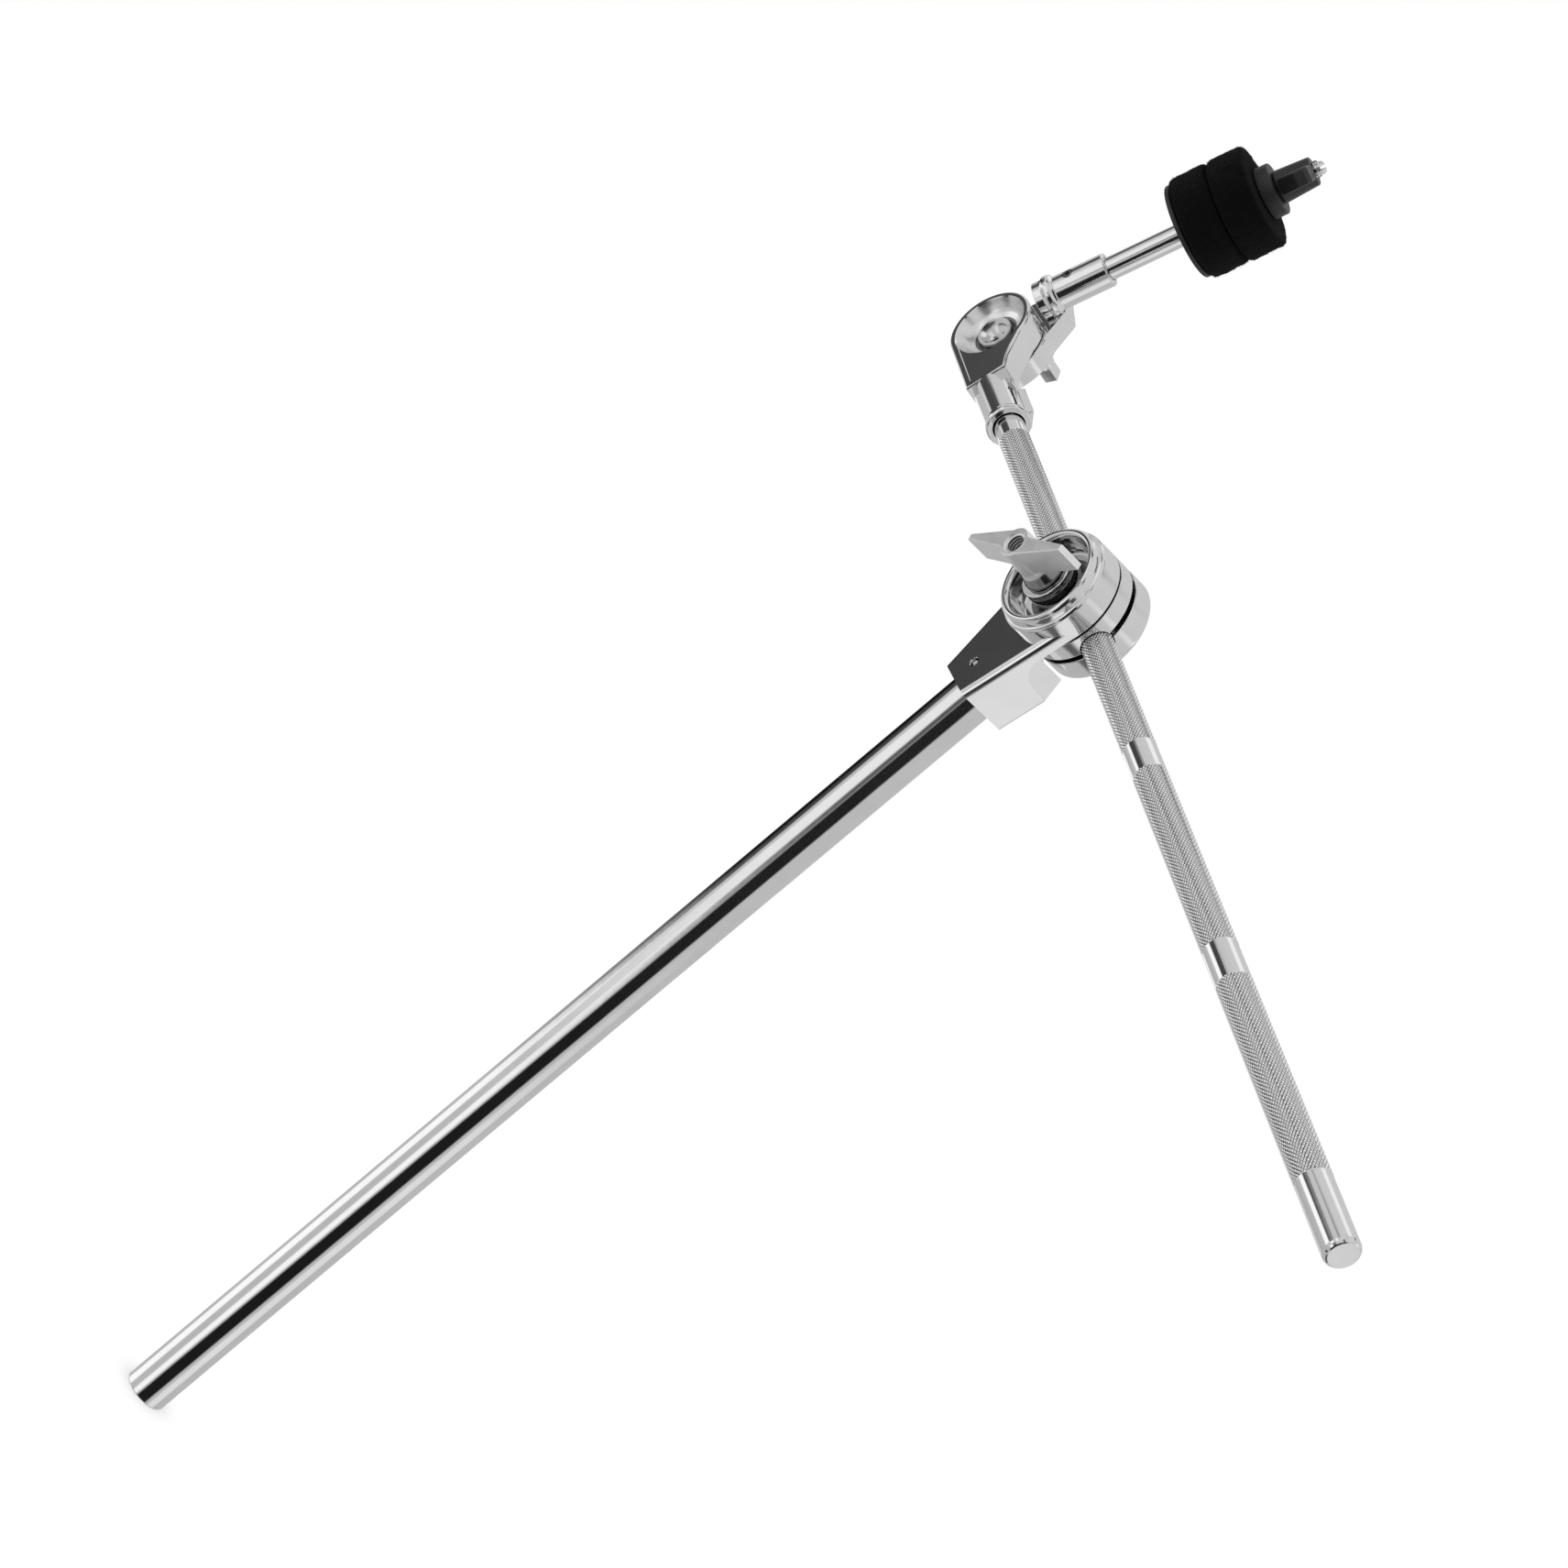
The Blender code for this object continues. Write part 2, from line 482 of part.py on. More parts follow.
# Cymbal tilter, upper half: rear plate, arm, collar and socket -------------------------------
CYMBAL_ROD_R = 4.8 * MM
NECK_BASE = 19.6 * MM
COLLAR_LOW = 23.2 * MM
UPPER_SOCKET_R = 7.15 * MM
arm_outline = arc((0, 0), 19.5 * MM, -200, 70, 30)
arm_outline += [(-3.4 * MM, 28.6 * MM), (-17.0 * MM, 28.6 * MM), (-19.0 * MM, 26.0 * MM)]
tilter_upper_half = slab("tilter_upper_half", arm_outline, UPPER_FRONT, UPPER_BACK)
bevel = tilter_upper_half.modifiers.new("round_edges", "BEVEL")
bevel.width = 0.7 * MM
bevel.segments = 2
bevel.limit_method = "ANGLE"
place(tilter_upper_half, pivot_frame)
upper_socket_points = [
    (UPPER_SOCKET_R - 0.8 * MM, SOCKET_END), (UPPER_SOCKET_R, SOCKET_END - 0.8 * MM),
    (UPPER_SOCKET_R, COLLAR_LOW + 5.2 * MM), (8.5 * MM, COLLAR_LOW + 4.4 * MM),
    (9.0 * MM, COLLAR_LOW + 3.2 * MM), (9.0 * MM, COLLAR_LOW + 1.4 * MM), (8.2 * MM, COLLAR_LOW),
    (8.2 * MM, NECK_BASE), (0, NECK_BASE)]
upper_socket = turned("upper_socket_tool", [(0, SOCKET_END)] + upper_socket_points, 32)
place(upper_socket, pivot_frame, (-CYMBAL_OFFSET, 0, 0))
join(tilter_upper_half, upper_socket)
cymbal_bore = turned("cymbal_bore_tool", rod_profile(CYMBAL_ROD_R + GAP, SOCKET_END + 5 * MM, 30 * MM), 32)
place(cymbal_bore, pivot_frame, (-CYMBAL_OFFSET, 0, 0))
cut(tilter_upper_half, cymbal_bore)
NUT_RECESS_R = 6.0 * MM
NUT_SEAT = 9.4 * MM
upper_pivot_hole = turned("upper_pivot_tool", [
    (0, 20 * MM), (NUT_RECESS_R, 20 * MM), (NUT_RECESS_R, NUT_SEAT), (PIVOT_R + GAP, NUT_SEAT),
    (PIVOT_R + GAP, -10 * MM), (0, -10 * MM)], 32)
place(upper_pivot_hole, pivot_frame, (0, 0, 0), ALONG_Y)
cut(tilter_upper_half, upper_pivot_hole)
LOCK_KEY_UP = 10.6 * MM      # lock key bolt above the pivot
LOCK_KEY_SIDE = 3.0 * MM
LOCK_KEY_R = 2.5 * MM
lock_hole = turned("lock_hole_tool", rod_profile(LOCK_KEY_R + GAP, 20 * MM, 0), 20)
place(lock_hole, pivot_frame, (LOCK_KEY_SIDE, 0, LOCK_KEY_UP), ALONG_Y)
cut(tilter_upper_half, lock_hole)
GRUB_R = 2.0 * MM
GRUB_STATION = 35.5 * MM
grub_hole = turned("grub_hole_tool", rod_profile(GRUB_R + GAP, 0, -12 * MM), 18)
place(grub_hole, pivot_frame, (-CYMBAL_OFFSET, 0, GRUB_STATION), ALONG_Y)
cut(tilter_upper_half, grub_hole)
finish(tilter_upper_half, chrome("upper_half_chrome"))

# Pivot bolt with a domed head, wave washer and lock nut; key bolt that locks the tilt --------
DOME_R = 7.5 * MM
dome_base = LOWER_FRONT + 6.4 * MM - GAP
dome_profile = [(0, NUT_SEAT + 3.6 * MM), (PIVOT_R - 0.4 * MM, NUT_SEAT + 3.6 * MM),
                (PIVOT_R, NUT_SEAT + 3.2 * MM), (PIVOT_R, dome_base)]
for degrees in range(0, 90, 15):
    rise = math.radians(degrees)
    dome_profile.append((DOME_R * math.cos(rise), dome_base - 1.0 * MM - 4.4 * MM * math.sin(rise)))
dome_profile.insert(4, (DOME_R, dome_base))
dome_profile.append((0, dome_base - 5.4 * MM))
pivot_bolt = turned("pivot_bolt", dome_profile, 32)
place(pivot_bolt, swivel_frame, (-PIVOT_BACK, 0, PIVOT_UP), ALONG_Y)
finish(pivot_bolt, chrome("pivot_bolt_chrome"))

wave_washer = turned(
    "wave_washer", ring_profile(5.4 * MM, PIVOT_R + GAP, NUT_SEAT + 1.0 * MM, NUT_SEAT + GAP),
    24, closed=True)
place(wave_washer, pivot_frame, (0, 0, 0), ALONG_Y)
finish(wave_washer, material("washer_steel", (0.55, 0.55, 0.56), 0.3, 1.0))

lock_nut = turned("lock_nut", rod_profile(5.6 * MM, NUT_SEAT + 3.4 * MM, NUT_SEAT + 1.3 * MM, 0.4 * MM), 6)
place(lock_nut, pivot_frame, (0, 0, 0), ALONG_Y)
lock_nut_hole = turned("lock_nut_tool", rod_profile(PIVOT_R + GAP, 20 * MM, 0), 24)
place(lock_nut_hole, pivot_frame, (0, 0, 0), ALONG_Y)
cut(lock_nut, lock_nut_hole)
finish(lock_nut, material("lock_nut_steel", (0.55, 0.55, 0.56), 0.3, 1.0))

LOCK_FLANGE = UPPER_BACK + GAP
KEY_SQUARE = 6.0 * MM
KEY_COLLAR_END = UPPER_BACK + 6.0 * MM
KEY_HEAD_END = UPPER_BACK + 13.2 * MM
tilt_key_bolt = turned("tilt_key_bolt", [
    (0, KEY_COLLAR_END), (3.9 * MM, KEY_COLLAR_END), (4.3 * MM, KEY_COLLAR_END - 0.4 * MM),
    (4.3 * MM, LOCK_FLANGE), (LOCK_KEY_R, LOCK_FLANGE), (LOCK_KEY_R, UPPER_FRONT + 0.6 * MM),
    (LOCK_KEY_R - 0.5 * MM, UPPER_FRONT + 0.1 * MM), (0, UPPER_FRONT + 0.1 * MM)], 20)
place(tilt_key_bolt, pivot_frame, (LOCK_KEY_SIDE, 0, LOCK_KEY_UP), ALONG_Y)
lock_head = block("lock_head_tool", (KEY_SQUARE, KEY_HEAD_END - KEY_COLLAR_END + 1 * MM, KEY_SQUARE),
                  (0, (KEY_HEAD_END + KEY_COLLAR_END - 1 * MM) / 2, 0))
bevel = lock_head.modifiers.new("round_edges", "BEVEL")
bevel.width = 0.6 * MM
bevel.segments = 1
place(lock_head, pivot_frame, (LOCK_KEY_SIDE, 0, LOCK_KEY_UP), (0, math.radians(20), 0))
join(tilt_key_bolt, lock_head)
finish(tilt_key_bolt, chrome("tilt_key_chrome"))

# Cymbal rod and what is stacked on it ------------------------------------------------------
THREAD_R = 3.0 * MM
cymbal_axis = empty("cymbal_axis", (-CYMBAL_OFFSET, 0, 0), (0, 0, 0), pivot_frame)
cymbal_rod = turned("cymbal_rod", [
    (0, ROD_TIP), (THREAD_R - 0.9 * MM, ROD_TIP), (THREAD_R, ROD_TIP - 0.9 * MM), (THREAD_R, SHOULDER),
    (CYMBAL_ROD_R - 0.4 * MM, SHOULDER), (CYMBAL_ROD_R, SHOULDER - 0.4 * MM),
    (CYMBAL_ROD_R, 31.0 * MM), (CYMBAL_ROD_R - 0.6 * MM, 30.4 * MM), (0, 30.4 * MM)], 28)
place(cymbal_rod, cymbal_axis)
tip_slot = block("tip_slot_tool", (12 * MM, 1.1 * MM, 12 * MM), (0, 0, ROD_TIP))
place(tip_slot, cymbal_axis, (0, 0, 0), (0, 0, math.radians(-33)))
cut(cymbal_rod, tip_slot)
finish(cymbal_rod, chrome("cymbal_rod_chrome"))

socket_grub = turned("socket_grub", rod_profile(GRUB_R, UPPER_SOCKET_R - 0.1 * MM,
                                                CYMBAL_ROD_R + GAP, 0.2 * MM), 16)
place(socket_grub, cymbal_axis, (0, 0, GRUB_STATION), (math.radians(90), 0, 0))
finish(socket_grub, material("grub_steel", (0.3, 0.3, 0.31), 0.35, 1.0))

SEAT_TOP = SHOULDER + GAP + 2.0 * MM
seat_washer = turned(
    "seat_washer", ring_profile(20.0 * MM, THREAD_R + GAP, SEAT_TOP, SHOULDER + GAP, 0.5 * MM),
    40, closed=True)
place(seat_washer, cymbal_axis)
finish(seat_washer, material("seat_plastic", PLASTIC_BLACK, 0.45, 0.0))

SLEEVE_R = 6.0 * MM
felt_bottom = SEAT_TOP + GAP
cymbal_seat = felt_bottom + FELT_THICK
felt_top = cymbal_seat + GAP + FELT_THICK
sleeve_top = felt_top - 4.0 * MM
cymbal_sleeve = turned("cymbal_sleeve", ring_profile(SLEEVE_R, THREAD_R + GAP, sleeve_top,
                                                     SEAT_TOP + GAP, 0.3 * MM), 28, closed=True)
place(cymbal_sleeve, cymbal_axis)
finish(cymbal_sleeve, material("sleeve_nylon", PLASTIC_BLACK, 0.5, 0.0))

for name, bottom in (("lower_felt", felt_bottom), ("upper_felt", cymbal_seat + GAP)):
    felt = turned(name, ring_profile(FELT_R, SLEEVE_R + GAP, bottom + FELT_THICK, bottom, 1.3 * MM),
                  48, closed=True)
    place(felt, cymbal_axis)
    finish(felt, material(name + "_black", FELT_BLACK, 0.95, 0.0))

FLANGE_R = 10.9 * MM
flange_low = felt_top + GAP
flange_high = flange_low + 6.0 * MM
nut_washer = turned(
    "nut_washer", ring_profile(FLANGE_R, THREAD_R + GAP, flange_high, flange_low, 0.5 * MM),
    32, closed=True)
place(nut_washer, cymbal_axis)
finish(nut_washer, material("nut_washer_plastic", PLASTIC_BLACK, 0.4, 0.0))

# Plastic wing nut with a brass threaded insert ---------------------------------------------
INSERT_R = 4.6 * MM
nut_low = flange_high + GAP
nut_high = nut_low + 15.4 * MM
WING_TURN = math.radians(-33)
cymbal_wing_nut = turned("cymbal_wing_nut", [
    (5.6 * MM, nut_high), (6.0 * MM, nut_high - 0.4 * MM), (6.9 * MM, nut_low + 0.5 * MM),
    (6.5 * MM, nut_low), (INSERT_R + GAP, nut_low), (INSERT_R + GAP, nut_low + 9.0 * MM),
    (THREAD_R + GAP, nut_low + 9.0 * MM), (THREAD_R + GAP, nut_high)], 32, closed=True)
place(cymbal_wing_nut, cymbal_axis)
paddle_outline = [(-9.0 * MM, nut_low + 1.5 * MM), (9.0 * MM, nut_low + 1.5 * MM),
                  (17.0 * MM, nut_high - 5.5 * MM), (17.0 * MM, nut_high - 1.5 * MM),
                  (15.5 * MM, nut_high), (-15.5 * MM, nut_high), (-17.0 * MM, nut_high - 1.5 * MM),
                  (-17.0 * MM, nut_high - 5.5 * MM)]
paddle = slab("paddle_tool", paddle_outline, -3.5 * MM, 3.5 * MM)
bevel = paddle.modifiers.new("round_edges", "BEVEL")
bevel.width = 0.9 * MM
bevel.segments = 2
place(paddle, cymbal_axis, (0, 0, 0), (0, 0, WING_TURN))
join(cymbal_wing_nut, paddle)
for name, radius, high in (("insert_bore_tool", INSERT_R + GAP, nut_low + 9.0 * MM),
                           ("thread_bore_tool", THREAD_R + GAP, nut_high + 5.0 * MM)):
    bore = turned(name, rod_profile(radius, high, nut_low - 5.0 * MM), 28)
    place(bore, cymbal_axis)
    cut(cymbal_wing_nut, bore)
finish(cymbal_wing_nut, material("wing_nut_plastic", PLASTIC_BLACK, 0.4, 0.0))

nut_insert = turned(
    "nut_insert", ring_profile(INSERT_R, THREAD_R + GAP, nut_low + 8.7 * MM, nut_low, 0.3 * MM),
    24, closed=True)
place(nut_insert, cymbal_axis)
finish(nut_insert, material("insert_brass", (0.78, 0.57, 0.25), 0.3, 1.0))
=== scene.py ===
"""Cymbal boom stand, the upper section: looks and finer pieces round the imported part."""
import math
import random

import bmesh
import bpy
from mathutils import Matrix, Vector, noise


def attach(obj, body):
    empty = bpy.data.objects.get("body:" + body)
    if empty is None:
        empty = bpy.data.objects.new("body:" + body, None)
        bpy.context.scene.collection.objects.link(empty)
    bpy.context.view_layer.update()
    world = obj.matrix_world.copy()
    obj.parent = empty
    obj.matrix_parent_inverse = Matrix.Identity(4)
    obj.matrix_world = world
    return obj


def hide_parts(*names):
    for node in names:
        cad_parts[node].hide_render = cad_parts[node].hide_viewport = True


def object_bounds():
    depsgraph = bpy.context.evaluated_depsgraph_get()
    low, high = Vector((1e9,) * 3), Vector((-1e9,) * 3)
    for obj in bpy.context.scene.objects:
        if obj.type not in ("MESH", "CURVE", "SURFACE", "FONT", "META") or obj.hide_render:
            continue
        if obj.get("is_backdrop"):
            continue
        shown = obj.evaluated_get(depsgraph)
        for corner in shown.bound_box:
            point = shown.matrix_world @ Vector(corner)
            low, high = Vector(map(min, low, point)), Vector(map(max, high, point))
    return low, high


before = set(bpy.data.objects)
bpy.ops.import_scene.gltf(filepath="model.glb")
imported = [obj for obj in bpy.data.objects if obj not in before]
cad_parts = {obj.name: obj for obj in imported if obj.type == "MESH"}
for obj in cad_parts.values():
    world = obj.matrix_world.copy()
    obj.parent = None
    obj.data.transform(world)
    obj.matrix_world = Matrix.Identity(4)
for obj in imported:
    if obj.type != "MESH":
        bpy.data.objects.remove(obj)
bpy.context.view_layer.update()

# Studio ------------------------------------------------------------------------------------
# A pale sweep on the floor, soft light from all round with two dark openings at table height,
# which give polished metal its black lines, and a long lens slightly rolled to the left.
FLOOR_RADIUS = 1.4
PAPER_WHITE = (0.93, 0.93, 0.93)
SOFT_LIGHT = 0.60           # general brightness of the walls and ceiling
WALL_LIGHT = 1.25           # how strongly the walls light matt things
SHADES = [                  # azimuth, elevation, half widths and brightness of each screen
    (-169, -7, 21, 9, 0.004), (-143, -6, 12, 12, 0.055), (-21, -14, 27, 19, 0.012), (-58, -6, 9, 8, 0.10),
    (-92, -8, 22, 8, 0.95), (-135, -24, 20, 8, 1.15), (-68, -23, 12, 7, 1.1), (156, -14, 9, 20, 1.1),
    (-150, 8, 12, 6, 0.07), (12, 8, 14, 6, 0.07), (-40, 42, 16, 4, 0.05), (100, 60, 30, 4, 0.06),
    (-128, 48, 7, 22, 0.04), (40, -52, 26, 12, 0.12), (-30, -50, 22, 10, 0.12), (-100, 18, 26, 5, 1.0),
    (60, 22, 20, 4, 1.0), (39, -27, 17, 10, 0.85), (170, 40, 14, 16, 1.0), (-70, -62, 40, 6, 0.05),
]
LENS = 82.2207
CAMERA_RIGHT = Vector((0.24169, 0.61873, 0.74750))
CAMERA_UP = Vector((-0.54833, -0.54847, 0.63128))
CAMERA_BACK = Vector((0.80057, -0.56245, 0.20671))
CAMERA_PLACE = Vector((1.05931, -0.76907, 0.63013))


class Field:
    """A number that varies over a surface. Arithmetic on it adds Math nodes to its tree."""

    def __init__(self, tree, socket):
        self.tree, self.socket = tree, socket

    def maths(self, operation, *values, clamp=False):
        node = self.tree.nodes.new("ShaderNodeMath")
        node.operation = operation
        node.use_clamp = clamp
        for socket, value in zip(node.inputs, values):
            if isinstance(value, Field):
                self.tree.links.new(value.socket, socket)
            else:
                socket.default_value = value
        return Field(self.tree, node.outputs[0])

    def __add__(self, other):
        return self.maths("ADD", self, other)

    def __radd__(self, other):
        return self.maths("ADD", other, self)

    def __sub__(self, other):
        return self.maths("SUBTRACT", self, other)

    def __rsub__(self, other):
        return self.maths("SUBTRACT", other, self)

    def __mul__(self, other):
        return self.maths("MULTIPLY", self, other)

    def __rmul__(self, other):
        return self.maths("MULTIPLY", other, self)

    def __truediv__(self, other):
        return self.maths("DIVIDE", self, other)

    def __rtruediv__(self, other):
        return self.maths("DIVIDE", other, self)

    def clamped(self):
        return self.maths("ADD", self, 0.0, clamp=True)

    def ramp(self, start, end):
        """0 at start, 1 at end, and straight between them."""
        return self.maths("DIVIDE", self - start, end - start, clamp=True)


class Recipe:
    """A node tree being built: any node that isn't arithmetic comes from node()."""

    def __init__(self, tree):
        self.tree = tree

    def node(self, kind, settings=None, sockets=None, out=0):
        made = self.tree.nodes.new(kind)
        for name, value in (settings or {}).items():
            setattr(made, name, value)
        for name, value in (sockets or {}).items():
            if isinstance(value, Field):
                self.tree.links.new(value.socket, made.inputs[name])
            else:
                made.inputs[name].default_value = value
        return Field(self.tree, made.outputs[out])


world = bpy.data.worlds.new("studio")
bpy.context.scene.world = world
world.use_nodes = True
walls = Recipe(world.node_tree)
direction = walls.node("ShaderNodeTexCoord", out="Generated")
heading_x = walls.node("ShaderNodeSeparateXYZ", sockets={0: direction}, out=0)
heading_y = walls.node("ShaderNodeSeparateXYZ", sockets={0: direction}, out=1)
heading_z = walls.node("ShaderNodeSeparateXYZ", sockets={0: direction}, out=2)
level = (1.0 - heading_z * heading_z).maths("SQRT", (1.0 - heading_z * heading_z).clamped() + 0.0001)
climb = heading_z.maths("ARCSINE", heading_z) * (180 / math.pi)
brightness = heading_z * 0.10 + SOFT_LIGHT
for azimuth, elevation, half_turn, half_climb, shade in SHADES:
    heading = math.radians(azimuth)
    facing = (heading_x * math.cos(heading) + heading_y * math.sin(heading)) / level
    aside = facing.maths("ARCCOSINE", facing * 0.99999) * (180 / math.pi)
    across = (half_turn - aside).ramp(-4.0, 4.0)
    upright = (half_climb - (climb - elevation).maths("ABSOLUTE", climb - elevation)).ramp(-2.5, 2.5)
    screen = across * upright
    brightness = brightness * (1.0 - screen) + screen * shade
rays = world.node_tree.nodes.new("ShaderNodeLightPath")
to_camera = Field(world.node_tree, rays.outputs["Is Camera Ray"])
to_gloss = Field(world.node_tree, rays.outputs["Is Glossy Ray"])
glow = to_gloss * brightness + (1.0 - to_gloss) * WALL_LIGHT
glow = to_camera * 1.0 + (1.0 - to_camera) * glow
backdrop = world.node_tree.nodes["Background"]
backdrop.inputs["Color"].default_value = (1.0, 1.0, 1.0, 1.0)
world.node_tree.links.new(glow.socket, backdrop.inputs["Strength"])

sweep = bmesh.new()
bmesh.ops.create_circle(sweep, cap_ends=True, segments=96, radius=FLOOR_RADIUS)
floor_mesh = bpy.data.meshes.new("studio_floor")
sweep.to_mesh(floor_mesh)
sweep.free()
studio_floor = bpy.data.objects.new("studio_floor", floor_mesh)
bpy.context.scene.collection.objects.link(studio_floor)
paper = bpy.data.materials.new("paper_sweep")
paper.use_nodes = True
paper_recipe = Recipe(paper.node_tree)
paper_place = paper_recipe.node("ShaderNodeTexCoord", out="Object")
paper_grain = paper_recipe.node("ShaderNodeTexNoise", sockets={"Vector": paper_place, "Scale": 900.0})
paper_shader = paper.node_tree.nodes["Principled BSDF"]
paper_shader.inputs["Base Color"].default_value = (*PAPER_WHITE, 1.0)
paper_shader.inputs["Specular IOR Level"].default_value = 0.0
paper.node_tree.links.new((paper_grain * 0.1 + 0.85).socket, paper_shader.inputs["Roughness"])
floor_mesh.materials.append(paper)
studio_floor.visible_glossy = False
studio_floor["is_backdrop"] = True

camera = bpy.data.objects.new("camera", bpy.data.cameras.new("camera"))
bpy.context.scene.collection.objects.link(camera)
camera.data.lens = LENS
camera.data.sensor_width = 36.0
turn = Matrix((CAMERA_RIGHT, CAMERA_UP, CAMERA_BACK)).transposed()
camera.matrix_world = Matrix.Translation(CAMERA_PLACE) @ turn.to_4x4()
bpy.context.scene.camera = camera
bpy.context.scene.view_settings.view_transform = "Standard"

# Down tube ---------------------------------------------------------------------------------
# The top of the stand's column: seamed steel tube, drawn, polished and chromed.
# Its open foot stands on the floor, and a pin holds its other end in the tilter yoke.
TUBE_RADIUS = 9.525
TUBE_WALL = 1.5
TUBE_TOP = 444.5
PIN_HEIGHT = 439.1
MIRROR = 0.86               # brightness of clean chrome
SEAM_TURN = 0.013           # keeps a turned shape's seam off the planes of the shapes it meets
LAID_ALONG_Y = Matrix.Rotation(math.radians(-90), 4, "X")
LAID_ALONG_X = Matrix.Rotation(math.radians(90), 4, "Y")
PIN_PLACE = Matrix.Translation((0, 0, PIN_HEIGHT * 0.001)) @ LAID_ALONG_Y


def solid(name, work, place=Matrix()):
    """An object from a shape drawn in millimetres, put where it belongs on the stand."""
    bmesh.ops.remove_doubles(work, verts=work.verts, dist=0.0005)
    bmesh.ops.transform(work, matrix=place @ Matrix.Scale(0.001, 4), verts=work.verts)
    bmesh.ops.recalc_face_normals(work, faces=work.faces)
    mesh = bpy.data.meshes.new(name)
    work.to_mesh(mesh)
    work.free()
    piece = bpy.data.objects.new(name, mesh)
    bpy.context.scene.collection.objects.link(piece)
    return piece


def lathe(name, outline, place=Matrix(), steps=128, ring=False, cuts=4):
    """A shape turned about its own Z. The outline is (radius, height, edge break) down its side."""
    work = bmesh.new()
    corners = [work.verts.new((radius, 0.0, height)) for radius, height, _ in outline]
    for start, end in zip(corners, corners[1:] + (corners[:1] if ring else [])):
        work.edges.new((start, end))
    for corner, (_, _, broken) in zip(corners, outline):
        if broken:
            bmesh.ops.bevel(work, geom=[corner], offset=broken, affect="VERTICES", segments=cuts,
                            profile=0.5, material=-1)
    bmesh.ops.spin(work, geom=work.verts[:] + work.edges[:], cent=(0, 0, 0), axis=(0, 0, 1),
                   angle=math.tau, steps=steps, use_merge=True)
    bmesh.ops.rotate(work, verts=work.verts, cent=(0, 0, 0), matrix=Matrix.Rotation(SEAM_TURN, 3, "Z"))
    return solid(name, work, place)


def peg(name, radius, start, end, place=Matrix(), steps=128):
    """A plain cylinder, or a prism where steps are few, along its own Z from start to end."""
    return lathe(name, [(0, start, 0), (radius, start, 0), (radius, end, 0), (0, end, 0)], place, steps)


def block(name, centre, size, place, broken=0):
    """A bar with six level faces, its edges rounded over where broken is given."""
    work = bmesh.new()
    bmesh.ops.create_cube(work, size=1.0, matrix=Matrix.Translation(centre) @ Matrix.Diagonal((*size, 1)))
    if broken:
        bmesh.ops.bevel(work, geom=work.edges[:], offset=broken, affect="EDGES", segments=3,
                        profile=0.5, material=-1)
    return solid(name, work, place)


def combine(piece, tool, operation):
    """Cuts piece with tool, or welds tool on. Both are closed, the result too; the tool is used up."""
    modifier = piece.modifiers.new("work", "BOOLEAN")
    modifier.operation, modifier.solver, modifier.object = operation, "MANIFOLD", tool
    bpy.context.view_layer.update()
    made = bpy.data.meshes.new_from_object(piece.evaluated_get(bpy.context.evaluated_depsgraph_get()))
    piece.modifiers.clear()
    piece.data = made
    bpy.data.objects.remove(tool)


def cut(piece, *tools):
    for tool in tools:
        combine(piece, tool, "DIFFERENCE")


def weld(piece, *tools):
    for tool in tools:
        combine(piece, tool, "UNION")


def polish(piece, material, crease=28):
    """Smooth shading that keeps the flats flat and the edges crisp, and the piece's material."""
    piece.data.materials.clear()
    piece.data.materials.append(material)
    piece.data.shade_smooth()
    piece.data.set_sharp_from_angle(angle=math.radians(crease))
    weighted = piece.modifiers.new("flat_faces", "WEIGHTED_NORMAL")
    weighted.keep_sharp = True
    return piece


